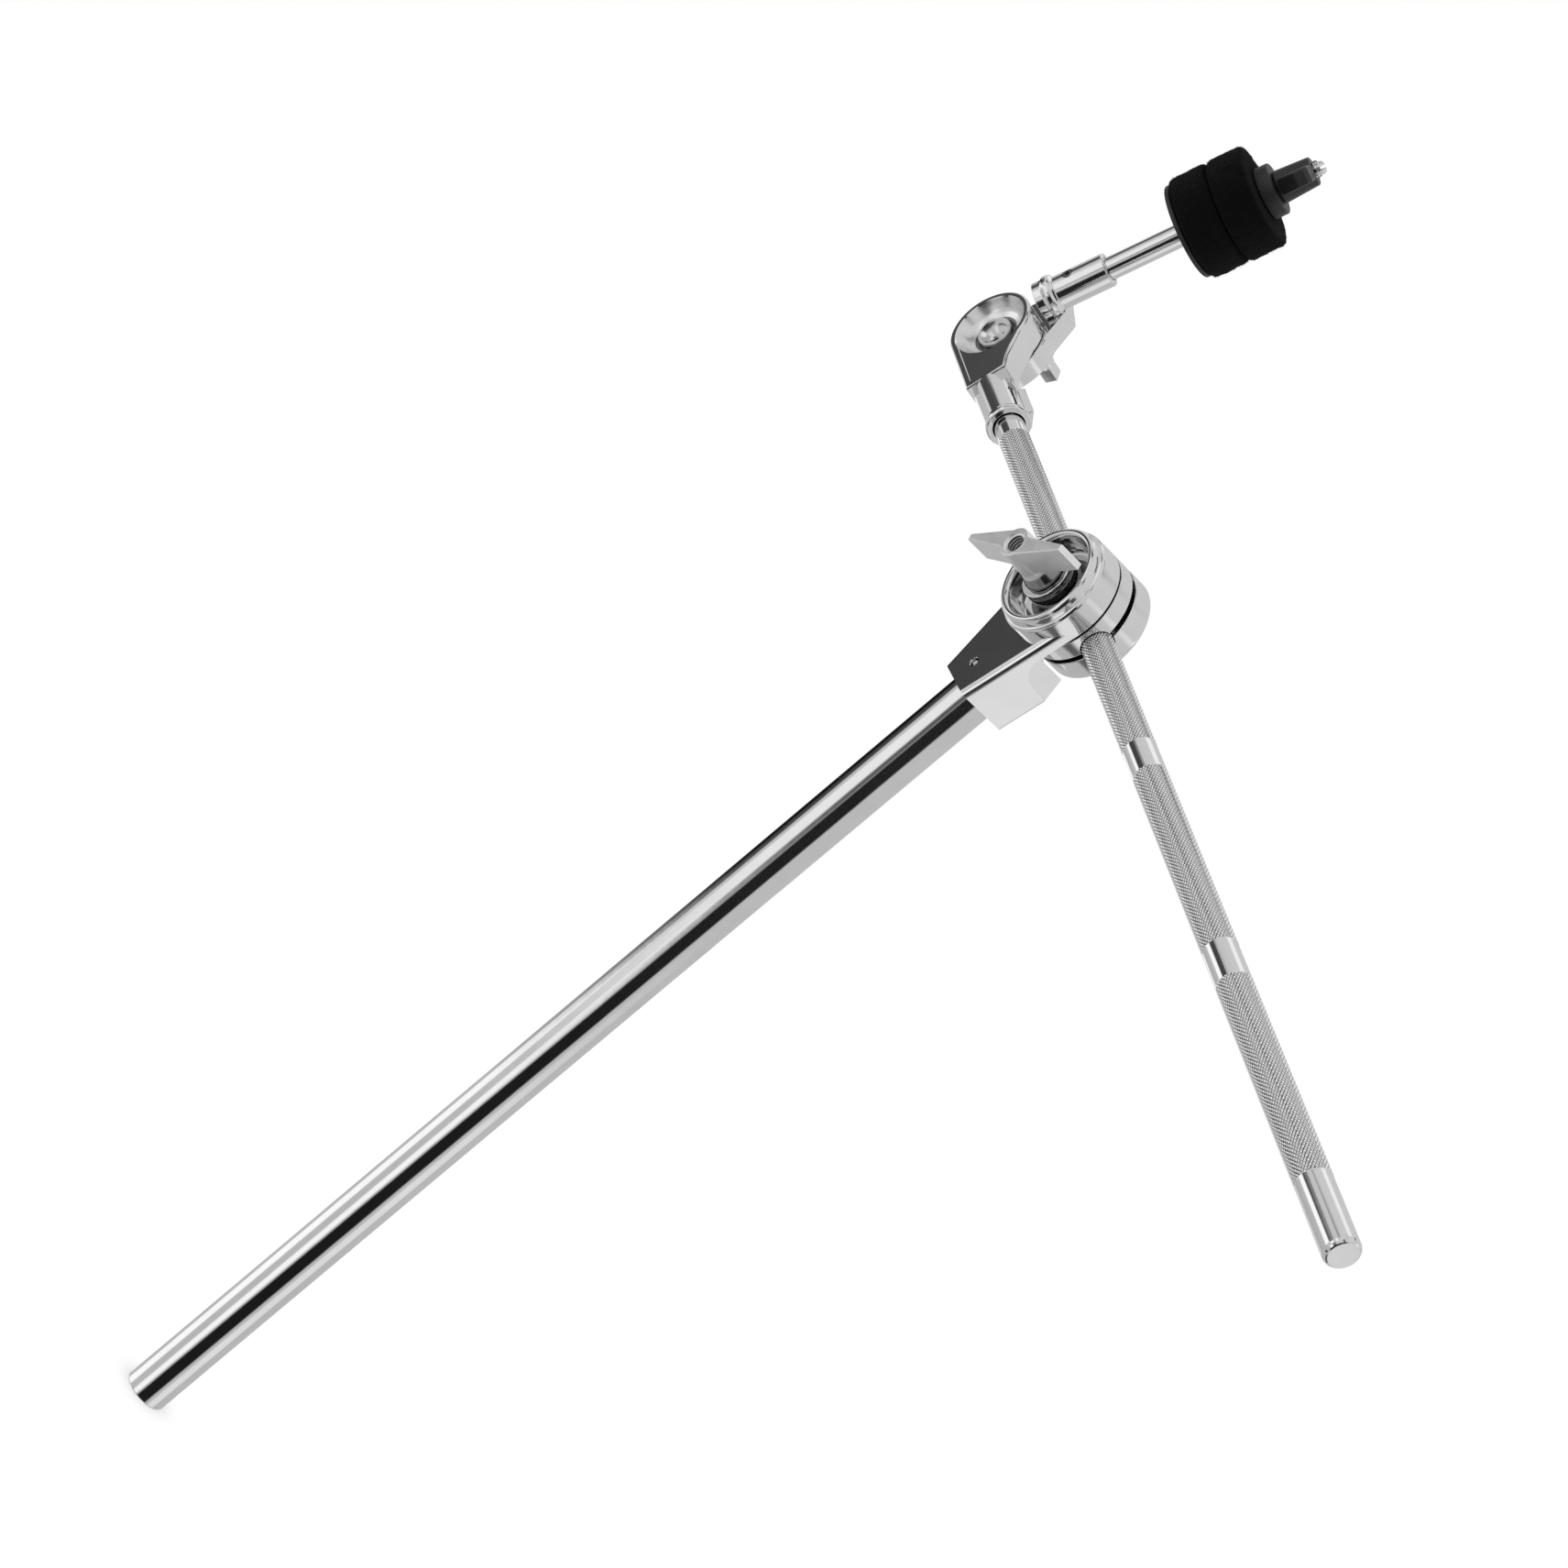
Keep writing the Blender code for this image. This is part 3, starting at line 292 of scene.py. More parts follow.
class Finish(Recipe):
    """A material and its Principled shader."""

    def __init__(self, name, metallic=0.0, **fixed):
        self.material = bpy.data.materials.new(name)
        self.material.use_nodes = True
        super().__init__(self.material.node_tree)
        self.shader = self.tree.nodes["Principled BSDF"]
        self.shader.inputs["Metallic"].default_value = metallic
        for socket, value in fixed.items():
            self.shader.inputs[socket.replace("_", " ")].default_value = value
        self.place = self.node("ShaderNodeTexCoord", out="Object")

    def clouds(self, size, detail=2.0, stretch=(1, 1, 1), roughness=0.5):
        """Soft noise, 0 to 1, with blots of the given size in millimetres."""
        at = self.node("ShaderNodeMapping", sockets={"Vector": self.place, "Scale": stretch})
        return self.node("ShaderNodeTexNoise", sockets={
            "Vector": at, "Scale": 1000.0 / size, "Detail": detail, "Roughness": roughness})

    def pits(self, spacing, size):
        """1 in small round spots about spacing millimetres apart, and 0 between them."""
        near = self.node("ShaderNodeTexVoronoi", sockets={"Vector": self.place, "Scale": 1000.0 / spacing})
        return 1.0 - near.ramp(size * 0.6, size)

    def along(self, place):
        """Distance from the Z axis of a place, and height along it, in millimetres."""
        back = Matrix.Scale(1000, 4) @ place.inverted()
        turned = self.node("ShaderNodeMapping", sockets={
            "Vector": self.place, "Location": back.to_translation(), "Rotation": back.to_euler(),
            "Scale": (1000, 1000, 1000)})
        x, y, z = (self.node("ShaderNodeSeparateXYZ", sockets={0: turned}, out=axis) for axis in range(3))
        spread = x * x + y * y
        return spread.maths("SQRT", spread), z

    def inside(self, place, radius, low, high):
        """1 within a cylinder round the Z axis of a place, and 0 outside it."""
        out, height = self.along(place)
        between = (height - low).ramp(-0.4, 0.4) * (high - height).ramp(-0.4, 0.4)
        return (radius - out).ramp(-0.15, 0.15) * between

    def tint(self, dark, light, share):
        mixed = self.node("ShaderNodeMix", {"data_type": "RGBA"},
                          {0: share, 6: (*dark, 1), 7: (*light, 1)}, out=2)
        self.tree.links.new(mixed.socket, self.shader.inputs["Base Color"])

    def sheen_of(self, roughness):
        self.tree.links.new(roughness.socket, self.shader.inputs["Roughness"])

    def relief(self, height, depth):
        """Surface relief: a height field of 0 to 1, and its depth in millimetres."""
        bump = self.node("ShaderNodeBump", sockets={"Height": height, "Distance": depth * 0.001})
        self.tree.links.new(bump.socket, self.shader.inputs["Normal"])


def chrome(name, grain=(1, 1, 1), haze=0.05, tone=MIRROR, painted_shade=None, cloudy=None):
    """Polished plating: a faint ripple, handling haze, hairline polishing marks and a few pits.
    The last two arguments are each a place, and round its Y axis a radius and two heights: within the
    first, painted shade darkens the plating's colour; within the second, the plating is less sharp."""
    plate = Finish(name, metallic=1.0)
    film = plate.clouds(16, 3.0)
    lines = plate.clouds(0.9, 2.0, grain)
    pits = plate.pits(4.5, 0.03)
    share = 0.89 + (film * 1.2 - pits * 0.8).clamped() * 0.11
    # Painted shade: within the given zone the plating's colour is darkened.
    if painted_shade:
        place, radius, low, high = painted_shade
        share = share * (1.0 - plate.inside(place @ LAID_ALONG_Y, radius, low, high) * 0.8)
    plate.tint((0.0, 0.0, 0.0), (tone,) * 3, share)
    sheen = haze + film * 0.05 + lines * 0.03 + pits * 0.1
    if cloudy:
        place, radius, low, high = cloudy
        sheen = sheen + plate.inside(place @ LAID_ALONG_Y, radius, low, high) * 0.16
    plate.sheen_of(sheen)
    plate.relief(plate.clouds(5.0, 1.0) * 0.8 + lines * 0.03 - pits * 0.1, 0.02)
    return plate.material


down_tube = lathe("down_tube_drawn", [
    (TUBE_RADIUS, TUBE_TOP, 0.3), (TUBE_RADIUS, 0, 0.35), (TUBE_RADIUS - TUBE_WALL, 0, 0.25),
    (TUBE_RADIUS - TUBE_WALL, TUBE_TOP, 0.2)], ring=True)
cut(down_tube, peg("pin_drill", 1.8, 15, -15, PIN_PLACE, 24))
polish(down_tube, chrome("drawn_tube_chrome", (1, 1, 0.02)))
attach(down_tube, "stand")
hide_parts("down_tube")

# Tilter yoke -------------------------------------------------------------------------------
# Cast and plated: a dished front disc with a raised lip round the spring boss, and below it
# the neck that takes the tube. The neck is cut away behind the disc for the clamp to turn.
HUB = Matrix.Translation((0, 0.003, 0.4807))
DISC_RADIUS = 22.4
DISC_BACK = -9.3
NECK_FRONT, NECK_REAR = -14.8, 8.8
NECK_HALF, NECK_FOOT = 11.2, -51.5
NECK_ROUND = 3.2            # the neck's long front corners
SHANK_BORE = 4.2


def arc(centre, radius, start, end, steps):
    """Corner points along an arc; the angles are in degrees."""
    return [(centre[0] + radius * math.cos(math.radians(start + (end - start) * i / steps)),
             centre[1] + radius * math.sin(math.radians(start + (end - start) * i / steps)))
            for i in range(steps + 1)]


def plate(name, outline, low, high, place=Matrix(), front=0.7, back=0.7, segments=4, long_only=False):
    """A bar of an outline in its own XZ plane, from y low to y high. The rims of its two faces are
    rounded over; with long_only, the level edges of the outline stay sharp."""
    work = bmesh.new()
    face = work.faces.new([work.verts.new((x, low, z)) for x, z in outline])
    grown = bmesh.ops.extrude_face_region(work, geom=[face])["geom"]
    bmesh.ops.translate(work, vec=(0, high - low, 0),
                        verts=[v for v in grown if isinstance(v, bmesh.types.BMVert)])
    bmesh.ops.recalc_face_normals(work, faces=work.faces)
    for level, broken in ((low, front), (high, back)):
        rims = [edge for edge in work.edges if all(abs(v.co.y - level) < 1e-5 for v in edge.verts)
                and not (long_only and abs(edge.verts[0].co.z - edge.verts[1].co.z) < 1e-5)]
        if broken:
            bmesh.ops.bevel(work, geom=rims, offset=broken, affect="EDGES", segments=segments,
                            profile=0.5, material=-1)
    return solid(name, work, place)


yoke = lathe("tilter_yoke_cast", [
    (DISC_RADIUS, DISC_BACK, 0.25), (DISC_RADIUS, -19.2, 0.5), (21.9, -20.1, 0.25), (21.2, -20.3, 0.1),
    (21.2, -21.6, 0.6), (20.8, -23.4, 0.7), (19.6, -24.4, 0.9), (18.2, -23.9, 0.8), (17.4, -22.2, 0.8),
    (17.0, -15.2, 0.8), (16.4, -14.0, 0.6), (11.6, -13.8, 0.5), (10.9, -14.6, 0.5), (10.7, -21.4, 0.35),
    (10.1, -22.0, 0.3), (SHANK_BORE, -22.0, 0.15), (SHANK_BORE, -16.0, 0), (7.5, -16.0, 0),
    (7.5, DISC_BACK, 0.2)], HUB @ LAID_ALONG_Y, 144, ring=True)
reach = math.hypot(NECK_HALF, NECK_FOOT)
tangent = math.acos((DISC_RADIUS - 0.2) / reach) - math.atan2(-NECK_FOOT, NECK_HALF)
side = ((DISC_RADIUS - 0.2) * math.cos(tangent), (DISC_RADIUS - 0.2) * math.sin(tangent))
neck = plate("neck", [(-NECK_HALF, NECK_FOOT), (NECK_HALF, NECK_FOOT), side, (-side[0], side[1])],
             NECK_FRONT, NECK_REAR, HUB, NECK_ROUND, 1.2, 8, long_only=True)
cut(neck,
    peg("cup_room", 19.0, -8.05, -30, HUB @ LAID_ALONG_Y, 96),
    peg("scoop", 24.6, 30, -9.35, HUB @ LAID_ALONG_Y, 144))
relief = plate("relief", arc((-1.2, -22.2), 8.0, 180, 265, 16) + [(12, -31.6), (12, 30), (-9.2, 30)],
               -30, 30, HUB @ Matrix.Rotation(math.radians(90), 4, "Z"), 0, 0)
cut(relief, plate("core", [
    (-15.6, -33.4), (15.6, -33.4), (10.9, -21), (10.9, 10), (-10.9, 10), (-10.9, -21)],
                  -30, 30, HUB, 0, 0))
cut(neck, relief)
weld(yoke, neck)
cut(yoke,
    peg("tube_socket", 9.825, 444.8, 400, steps=96),
    peg("pin_hole", 1.8, 20, -20, PIN_PLACE, 40),
    lathe("pin_mouth", [(0, -11.5, 0), (1.8, -11.5, 0), (2.2, -12.0, 0), (2.2, -16, 0), (0, -16, 0)],
          PIN_PLACE, 40))
# Painted shade: the plating inside the cup round the spring boss is darkened in its colour.
polish(yoke, chrome("yoke_cast_chrome", (1, 1, 1), 0.06, painted_shade=(HUB, 13.6, -60, -13)))
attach(yoke, "stand")
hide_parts("tilter_yoke")

# Yoke pin ----------------------------------------------------------------------------------
# A ground steel pin driven through the neck and the tube. Only its two ends show.


def steel(name, tone, haze=0.28):
    """Bare or zinc-plated steel: grey, with turning marks, a little tarnish and fine scratches."""
    bar = Finish(name, metallic=1.0)
    tarnish = bar.clouds(5, 4.0)
    marks = bar.clouds(0.35, 3.0)
    bar.tint((tone * 0.7,) * 3, (tone * 1.08, tone * 1.08, tone * 1.1), tarnish)
    bar.sheen_of(haze + tarnish * 0.15 + marks * 0.06)
    bar.relief(marks, 0.02)
    return bar.material


yoke_pin = lathe("yoke_pin_ground", [
    (0, 10.8, 0), (1.5, 10.8, 0.3), (1.5, -11.0, 1.0), (0.5, -11.6, 0.2), (0, -11.6, 0)], PIN_PLACE, 48)
polish(yoke_pin, steel("pin_ground_steel", 0.75, 0.16))
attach(yoke_pin, "stand")
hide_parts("yoke_pin")

# Ratchet disc and rear clamp disc -----------------------------------------------------------
# Two plated steel discs, grooved across their meeting faces for the boom rod, which the
# clamp bolt pulls together. A narrow gap stays open between them.
TILT = HUB @ Matrix.Rotation(math.radians(5.75), 4, "Y")


def groove(place=TILT @ LAID_ALONG_X):
    return peg("groove", 6.65, 40, -40, place, 96)


ratchet_disc = lathe("ratchet_disc_turned", [
    (DISC_RADIUS, -1.1, 0.45), (DISC_RADIUS, -8.45, 0.25), (9.55, -8.45, 0.2), (9.55, -1.1, 0.2)],
    TILT @ LAID_ALONG_Y, 144, ring=True)
cut(ratchet_disc, groove())
polish(ratchet_disc, chrome("ratchet_turned_chrome"))
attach(ratchet_disc, "tilter_head")
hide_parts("ratchet_disc")

rear_disc = lathe("rear_clamp_disc_turned", [
    (20.6, 12.2, 0.8), (22.0, 11.0, 0.8), (22.4, 10.0, 0.6), (22.4, 1.1, 0.45), (9.55, 1.1, 0.2),
    (9.55, 8.9, 0), (12.5, 8.9, 0.2), (12.5, 12.2, 0.3)], TILT @ LAID_ALONG_Y, 144, ring=True)
cut(rear_disc, groove())
polish(rear_disc, chrome("rear_disc_turned_chrome"))
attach(rear_disc, "tilter_head")
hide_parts("rear_clamp_disc")

# Clamp bolt and release spring --------------------------------------------------------------
# The eye bolt: a round head let into the rear disc, a barrel bored across for the boom rod
# and a threaded shank. The coil spring behind it opens the tilter when the nut is slack.
SHANK_RADIUS = 3.9
BOLT_PITCH = 1.25


def thread(name, radius, depth, pitch, low, high, place, grow=0.0):
    """A rod's screw thread: a pointed ridge that winds from low to high."""
    turns = (high - low) / pitch
    steps = 32
    work = bmesh.new()
    ridge = work.faces.new([work.verts.new((r, 0, low + z)) for r, z in (
        (radius - depth - 0.25, -0.46 * pitch), (radius + grow, -0.06 * pitch),
        (radius + grow, 0.06 * pitch), (radius - depth - 0.25, 0.46 * pitch))])
    bmesh.ops.spin(work, geom=[ridge], cent=(0, 0, 0), axis=(0, 0, 1), angle=math.tau * turns,
                   dvec=(0, 0, (high - low) / (turns * steps)), steps=int(turns * steps))
    bmesh.ops.rotate(work, verts=work.verts, cent=(0, 0, 0), matrix=Matrix.Rotation(3 * SEAM_TURN, 3, "Z"))
    return solid(name, work, place)


clamp_bolt = lathe("clamp_bolt_turned", [
    (0, 11.9, 0), (12.2, 11.9, 1.1), (12.2, 9.2, 0.2), (9.25, 9.2, 0.2), (9.25, -8.45, 0.3),
    (SHANK_RADIUS, -8.45, 0.2), (SHANK_RADIUS, -24, 0), (SHANK_RADIUS - 0.55, -24.6, 0),
    (SHANK_RADIUS - 0.55, -38.5, 0.6), (0, -38.5, 0)], TILT @ LAID_ALONG_Y, 96)
cut(clamp_bolt, groove())
weld(clamp_bolt, thread("bolt_thread", SHANK_RADIUS, 0.55, BOLT_PITCH, -37.6, -25.2, TILT @ LAID_ALONG_Y))
polish(clamp_bolt, steel("bolt_turned_steel", 0.62, 0.22))
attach(clamp_bolt, "tilter_head")
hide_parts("clamp_bolt")

spring_work = bmesh.new()
bmesh.ops.create_circle(spring_work, cap_ends=True, segments=12, radius=0.55, matrix=Matrix.Translation(
    (5.7, 0, -15.15)) @ Matrix.Rotation(math.radians(90), 4, "X"))
bmesh.ops.spin(spring_work, geom=spring_work.faces[:], cent=(0, 0, 0), axis=(0, 0, 1), angle=math.tau * 4,
               dvec=(0, 0, 5.85 / 128), steps=128)
release_spring = solid("release_spring_wound", spring_work, TILT @ LAID_ALONG_Y)
polish(release_spring, steel("spring_wire_steel", 0.5, 0.32))
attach(release_spring, "tilter_head")
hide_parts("release_spring")

# Clamp washer ------------------------------------------------------------------------------
# A thick plated washer between the spring boss and the wing nut.
clamp_washer = lathe("clamp_washer_turned", [
    (10.6, -22.3, 0.45), (10.6, -24.3, 0.45), (SHANK_BORE, -24.3, 0.2), (SHANK_BORE, -22.3, 0.2)],
    TILT @ LAID_ALONG_Y, 96, ring=True)
polish(clamp_washer, chrome("washer_turned_chrome"))
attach(clamp_washer, "clamp_washer")
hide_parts("clamp_washer")

# Tilter wing nut ---------------------------------------------------------------------------
# Die-cast zinc, barrelled dull: a tapering hub with two thin wings, tapped right through, so
# that the thread shows in front of the bolt's end.
WING_TURN = TILT @ Matrix.Rotation(math.radians(-38), 4, "Y")


def dull_zinc(name, axis):
    """Barrelled casting: matt grey skin, rubbed brighter here and there, with a pebbled relief.
    Painted shade darkens the roots of the thread in its tapped hole and the foot of its hub, which is worn
    smooth."""
    cast = Finish(name, metallic=1.0)
    out, _ = cast.along(axis)
    # Painted shade: the roots of the thread in the tapped hole and the foot of the hub are darkened in the
    # colour below.
    roots = out.ramp(3.45, 3.75) * cast.inside(axis, 4.15, -42.8, -20)
    foot = cast.inside(axis, 9.5, -29.5, -20)
    skin = cast.clouds(4, 4.0)
    pebble = cast.clouds(0.5, 3.0)
    cast.tint((0.04, 0.04, 0.04), (0.96, 0.96, 0.97),
              (0.84 + skin * 0.14 + pebble * 0.1) * (1.0 - roots * 0.95) * (1.0 - foot * 0.7))
    cast.sheen_of((0.36 + skin * 0.12 + pebble * 0.06) * (1.0 - foot * 0.6))
    cast.relief((pebble * 0.6 + skin * 0.4) * (1.0 - foot), 0.06)
    return cast.material


wing_nut = lathe("tilt_wing_nut_cast", [
    (0, -24.6, 0), (8.0, -24.6, 0.3), (8.6, -25.2, 0.3), (8.4, -26.2, 0.4), (6.6, -30.5, 1.2),
    (6.3, -44.0, 0.5), (0, -44.0, 0)], TILT @ LAID_ALONG_Y, 96)
for facing in (1, -1):
    weld(wing_nut, plate("wing", [(facing * x, facing * z) for x, z in (
        (1.0, -5.6), (25.0, -1.4), (25.0, 1.2), (6.0, 2.6), (4.6, 4.0), (1.0, 4.0))],
        -44.0, -31.6, WING_TURN, 0.5, 0.5, 3))
tap = peg("tap", 3.45, -20, -50, TILT @ LAID_ALONG_Y, 64)
weld(tap, thread("tap_thread", 3.95, 0.55, BOLT_PITCH, -45.5, -23.0, TILT @ LAID_ALONG_Y, 0.1))
cut(wing_nut, tap)
cut(wing_nut, lathe("countersink", [(0, -42.9, 0), (4.2, -43.2, 0), (4.9, -44.2, 0), (0, -44.2, 0)],
                    TILT @ LAID_ALONG_Y, 64))
polish(wing_nut, dull_zinc("wing_nut_dull_zinc", TILT @ LAID_ALONG_Y))
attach(wing_nut, "wing_nut")
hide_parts("tilt_wing_nut")

# Boom rod ----------------------------------------------------------------------------------
# Steel bar with a diamond knurl rolled into it, three smooth bands left between the knurls,
# and plated afterwards. Each diamond is a small pyramid.
BAND_RADIUS = 6.2
KNURL_PEAK, KNURL_VALLEY = 6.35, 6.1
KNURL_STARTS = 32           # grooves of each hand round the bar
KNURL_STEP = 0.98           # from a row of peaks to the next, along the bar
KNURLED = ((-117.0, 85.0), (100.0, 193.0), (210.0, 301.0))
BOOM_LOW, BOOM_HIGH = -157.0, 332.0

rod_work = bmesh.new()
stations = [(0, BOOM_HIGH), (5.0, BOOM_HIGH), (5.5, BOOM_HIGH - 0.25), (5.95, BOOM_HIGH - 0.9),
            (BAND_RADIUS, BOOM_HIGH - 1.9)]
for low, high in reversed(KNURLED):
    rows = round((high - low - 0.6) / KNURL_STEP)
    stations.append((BAND_RADIUS, high))
    stations += [(KNURL_PEAK, high - 0.3 - (high - low - 0.6) * row / rows) for row in range(rows + 1)]
    stations.append((BAND_RADIUS, low))
stations += [(BAND_RADIUS, BOOM_LOW + 1.2), (BAND_RADIUS - 0.8, BOOM_LOW), (0, BOOM_LOW)]
row_mark = rod_work.verts.layers.int.new("row")
bar_line = [rod_work.verts.new((radius, 0, height)) for radius, height in stations]
for index, (point, (radius, _)) in enumerate(zip(bar_line, stations)):
    point[row_mark] = index + 1 if radius == KNURL_PEAK else 0
for start, end in zip(bar_line, bar_line[1:]):
    rod_work.edges.new((start, end))
bmesh.ops.spin(rod_work, geom=rod_work.verts[:] + rod_work.edges[:], cent=(0, 0, 0), axis=(0, 0, 1),
               angle=math.tau, steps=KNURL_STARTS * 2, use_merge=True)
valleys = []
for point in rod_work.verts:
    if point[row_mark]:
        turn_step = round(math.atan2(point.co.y, point.co.x) / math.tau * KNURL_STARTS * 2)
        if (turn_step + point[row_mark]) % 2:
            point.co.xy *= KNURL_VALLEY / KNURL_PEAK
            valleys.append(point)
bmesh.ops.connect_verts(rod_work, verts=valleys)
boom_rod = solid("boom_rod_knurled", rod_work, TILT @ LAID_ALONG_X)
bar_finish = Finish("boom_bar_chrome", metallic=1.0)
radius_here, _ = bar_finish.along(TILT @ LAID_ALONG_X)
knurled = 0.0
for low, high in KNURLED:
    knurled = knurled + bar_finish.inside(TILT @ LAID_ALONG_X, 9, low, high)
# Painted shade: the valleys of the knurl are darkened in the colour by their radius.
valley_shade = (1.0 - radius_here.ramp(6.10, 6.17)) * knurled
bar_film = bar_finish.clouds(9, 3.0)
# Painted highlight: the knurled zones get a lighter tone than the smooth bands, brightening their crests.
bar_finish.tint((0.01, 0.01, 0.01), (1.0, 1.0, 1.0),
                (0.86 + knurled * 0.14 - valley_shade * 0.95 - bar_film * 0.06).clamped())
bar_finish.sheen_of(0.06 + bar_film * 0.05 + knurled * 0.06 + valley_shade * 0.3)
bar_finish.relief(bar_finish.clouds(0.8, 2.0, (0.02, 1, 1)) * 0.15 + bar_finish.clouds(4, 1.0) * 0.5, 0.02)
polish(boom_rod, bar_finish.material, 12)
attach(boom_rod, "boom")
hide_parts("boom_rod")

# Cymbal tilter, lower half ------------------------------------------------------------------
# A plated casting: a round plate dished for the pivot bolt's head, and a socket clamped on the
# boom rod, slit along its front, with a boss on its rear side for the clamping screw.
SWIVEL = TILT @ Matrix.Rotation(math.radians(-7.5), 4, "X")
PIVOT_SPOT = (-185.5, 9.8)
PLATE_FACE = -8.7
AT_PIVOT = SWIVEL @ Matrix.Translation((-0.1855, 0, 0.0098))
BOSS = SWIVEL @ Matrix.Translation((-0.141, 0, 0)) @ Matrix.Rotation(math.radians(-35), 4, "X")
SLIT = SWIVEL @ Matrix.Translation((-0.143, 0, 0)) @ Matrix.Rotation(math.radians(35), 4, "X")
SOCKET_BORE = 6.65

lower_half = plate("tilter_lower_half_cast",
                   [(-154, -8.9)] + arc(PIVOT_SPOT, 18.3, -90, -325, 60)
                   + [(-164.6, 15.4), (-160.5, 12.0), (-154, 9.1)], PLATE_FACE, 4.0, SWIVEL, 1.1, 0.6)
weld(lower_half,
     lathe("socket", [(8.8, -127.5, 0.35), (9.3, -128.4, 0.5), (9.3, -129.9, 0.5), (8.7, -131.1, 0.5),
                      (8.7, -158, 0), (SOCKET_BORE, -158, 0), (SOCKET_BORE, -127.5, 0.3)],
           SWIVEL @ LAID_ALONG_X, 96, ring=True),
     plate("boss", [(-8.0, 5.0), (11.1, 5.0), (11.1, 8.0), (8.4, 10.7), (-8.0, 10.7)],
           -4.5, 4.5, BOSS, 0.6, 0.6))
cut(lower_half,
    peg("bore", SOCKET_BORE, -122.5, -158, SWIVEL @ LAID_ALONG_X, 96),
    block("slit", (5.8, 0, 8), (11.6, 1.1, 8), SLIT),
    peg("slit_end", 1.2, 12, 4, SLIT, 32),
    peg("screw_hole", 2.8, 13.7, 4, BOSS, 48),
    plate("step", [(-157.0, -6.2)] + arc(PIVOT_SPOT, 15.7, -90, -325, 60)
          + [(-163.2, 12.4), (-160.4, 9.9), (-157.0, 7.0)], -12, -8.3, SWIVEL, 0, 0.35, 2),
    lathe("dish", [(0, -2.3, 0), (8.4, -2.3, 0.4), (12.4, -4.1, 1.2), (14.6, -6.8, 0.8), (15.5, -8.1, 0.5),
                   (16.0, -8.75, 0), (16.0, -12.7, 0), (0, -12.7, 0)], AT_PIVOT @ LAID_ALONG_Y, 128),
    peg("pivot_hole", 3.3, 30, -30, AT_PIVOT @ LAID_ALONG_Y, 64))
# Painted shade: the plating on the dish floor round the pivot bolt's head is darkened in its colour.
polish(lower_half, chrome("lower_cast_chrome", (1, 1, 1), 0.06, painted_shade=(AT_PIVOT, 9.6, -4.0, 0),
                          cloudy=(AT_PIVOT, 15.7, -8.2, 0)))
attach(lower_half, "lower_tilter")
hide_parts("tilter_lower_half")

# Clamp screw -------------------------------------------------------------------------------
# A plated set screw with a hexagon socket, sunk in the boss.
clamp_screw = lathe("clamp_screw_turned", [
    (0, 10.5, 0), (2.5, 10.5, 0.4), (2.5, 6.65, 0.2), (0, 6.65, 0)], BOSS, 64)
cut(clamp_screw, peg("hex_key", 1.5, 12.5, 8.3, BOSS, 6))
polish(clamp_screw, chrome("screw_plated_chrome", haze=0.1))
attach(clamp_screw, "clamp_screw")
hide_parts("clamp_screw")

# Pivot bolt and its nut --------------------------------------------------------------------
# A domed, polished head in the dish; on the far side a wave washer and a hexagon lock nut.
PIVOT = AT_PIVOT @ Matrix.Rotation(math.radians(10.6), 4, "Y")

dome = [(7.5, -2.6, 0.15), (7.5, -3.6, 0.3)] + [
    (7.5 * math.cos(math.radians(a)), -3.6 - 4.4 * math.sin(math.radians(a)), 0) for a in range(6, 90, 6)]
pivot_bolt = lathe("pivot_bolt_turned",
                   [(0, 13.0, 0), (3.0, 13.0, 0.4), (3.0, -2.6, 0)] + dome + [(0, -8.0, 0)],
                   AT_PIVOT @ LAID_ALONG_Y, 96)
polish(pivot_bolt, chrome("pivot_polished_chrome", haze=0.12, tone=0.7))
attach(pivot_bolt, "lower_tilter")
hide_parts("pivot_bolt")

wave_washer = lathe("wave_washer_pressed", [
    (5.4, 10.4, 0.15), (5.4, 9.7, 0.15), (3.3, 9.7, 0.1), (3.3, 10.4, 0.1)],
                    PIVOT @ LAID_ALONG_Y, 64, ring=True)
polish(wave_washer, steel("wave_washer_steel", 0.55))
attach(wave_washer, "lower_tilter")
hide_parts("wave_washer")

lock_nut = lathe("lock_nut_hexagon", [(0, 12.8, 0), (5.6, 12.8, 0.35), (5.6, 10.7, 0.35), (0, 10.7, 0)],
                 PIVOT @ LAID_ALONG_Y, 6)
cut(lock_nut, peg("nut_hole", 3.3, 20, 0, PIVOT @ LAID_ALONG_Y, 48))
polish(lock_nut, steel("lock_nut_zinc_steel", 0.58))
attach(lock_nut, "lower_tilter")
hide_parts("lock_nut")

# Cymbal tilter, upper half ------------------------------------------------------------------
# The matching plated casting: a round plate behind the lower one, an arm, a collar and the
# socket that holds the cymbal rod with a grub screw.
CYMBAL = PIVOT @ Matrix.Translation((-0.0112, 0, 0))
KEY = PIVOT @ Matrix.Translation((0.003, 0, 0.0106))

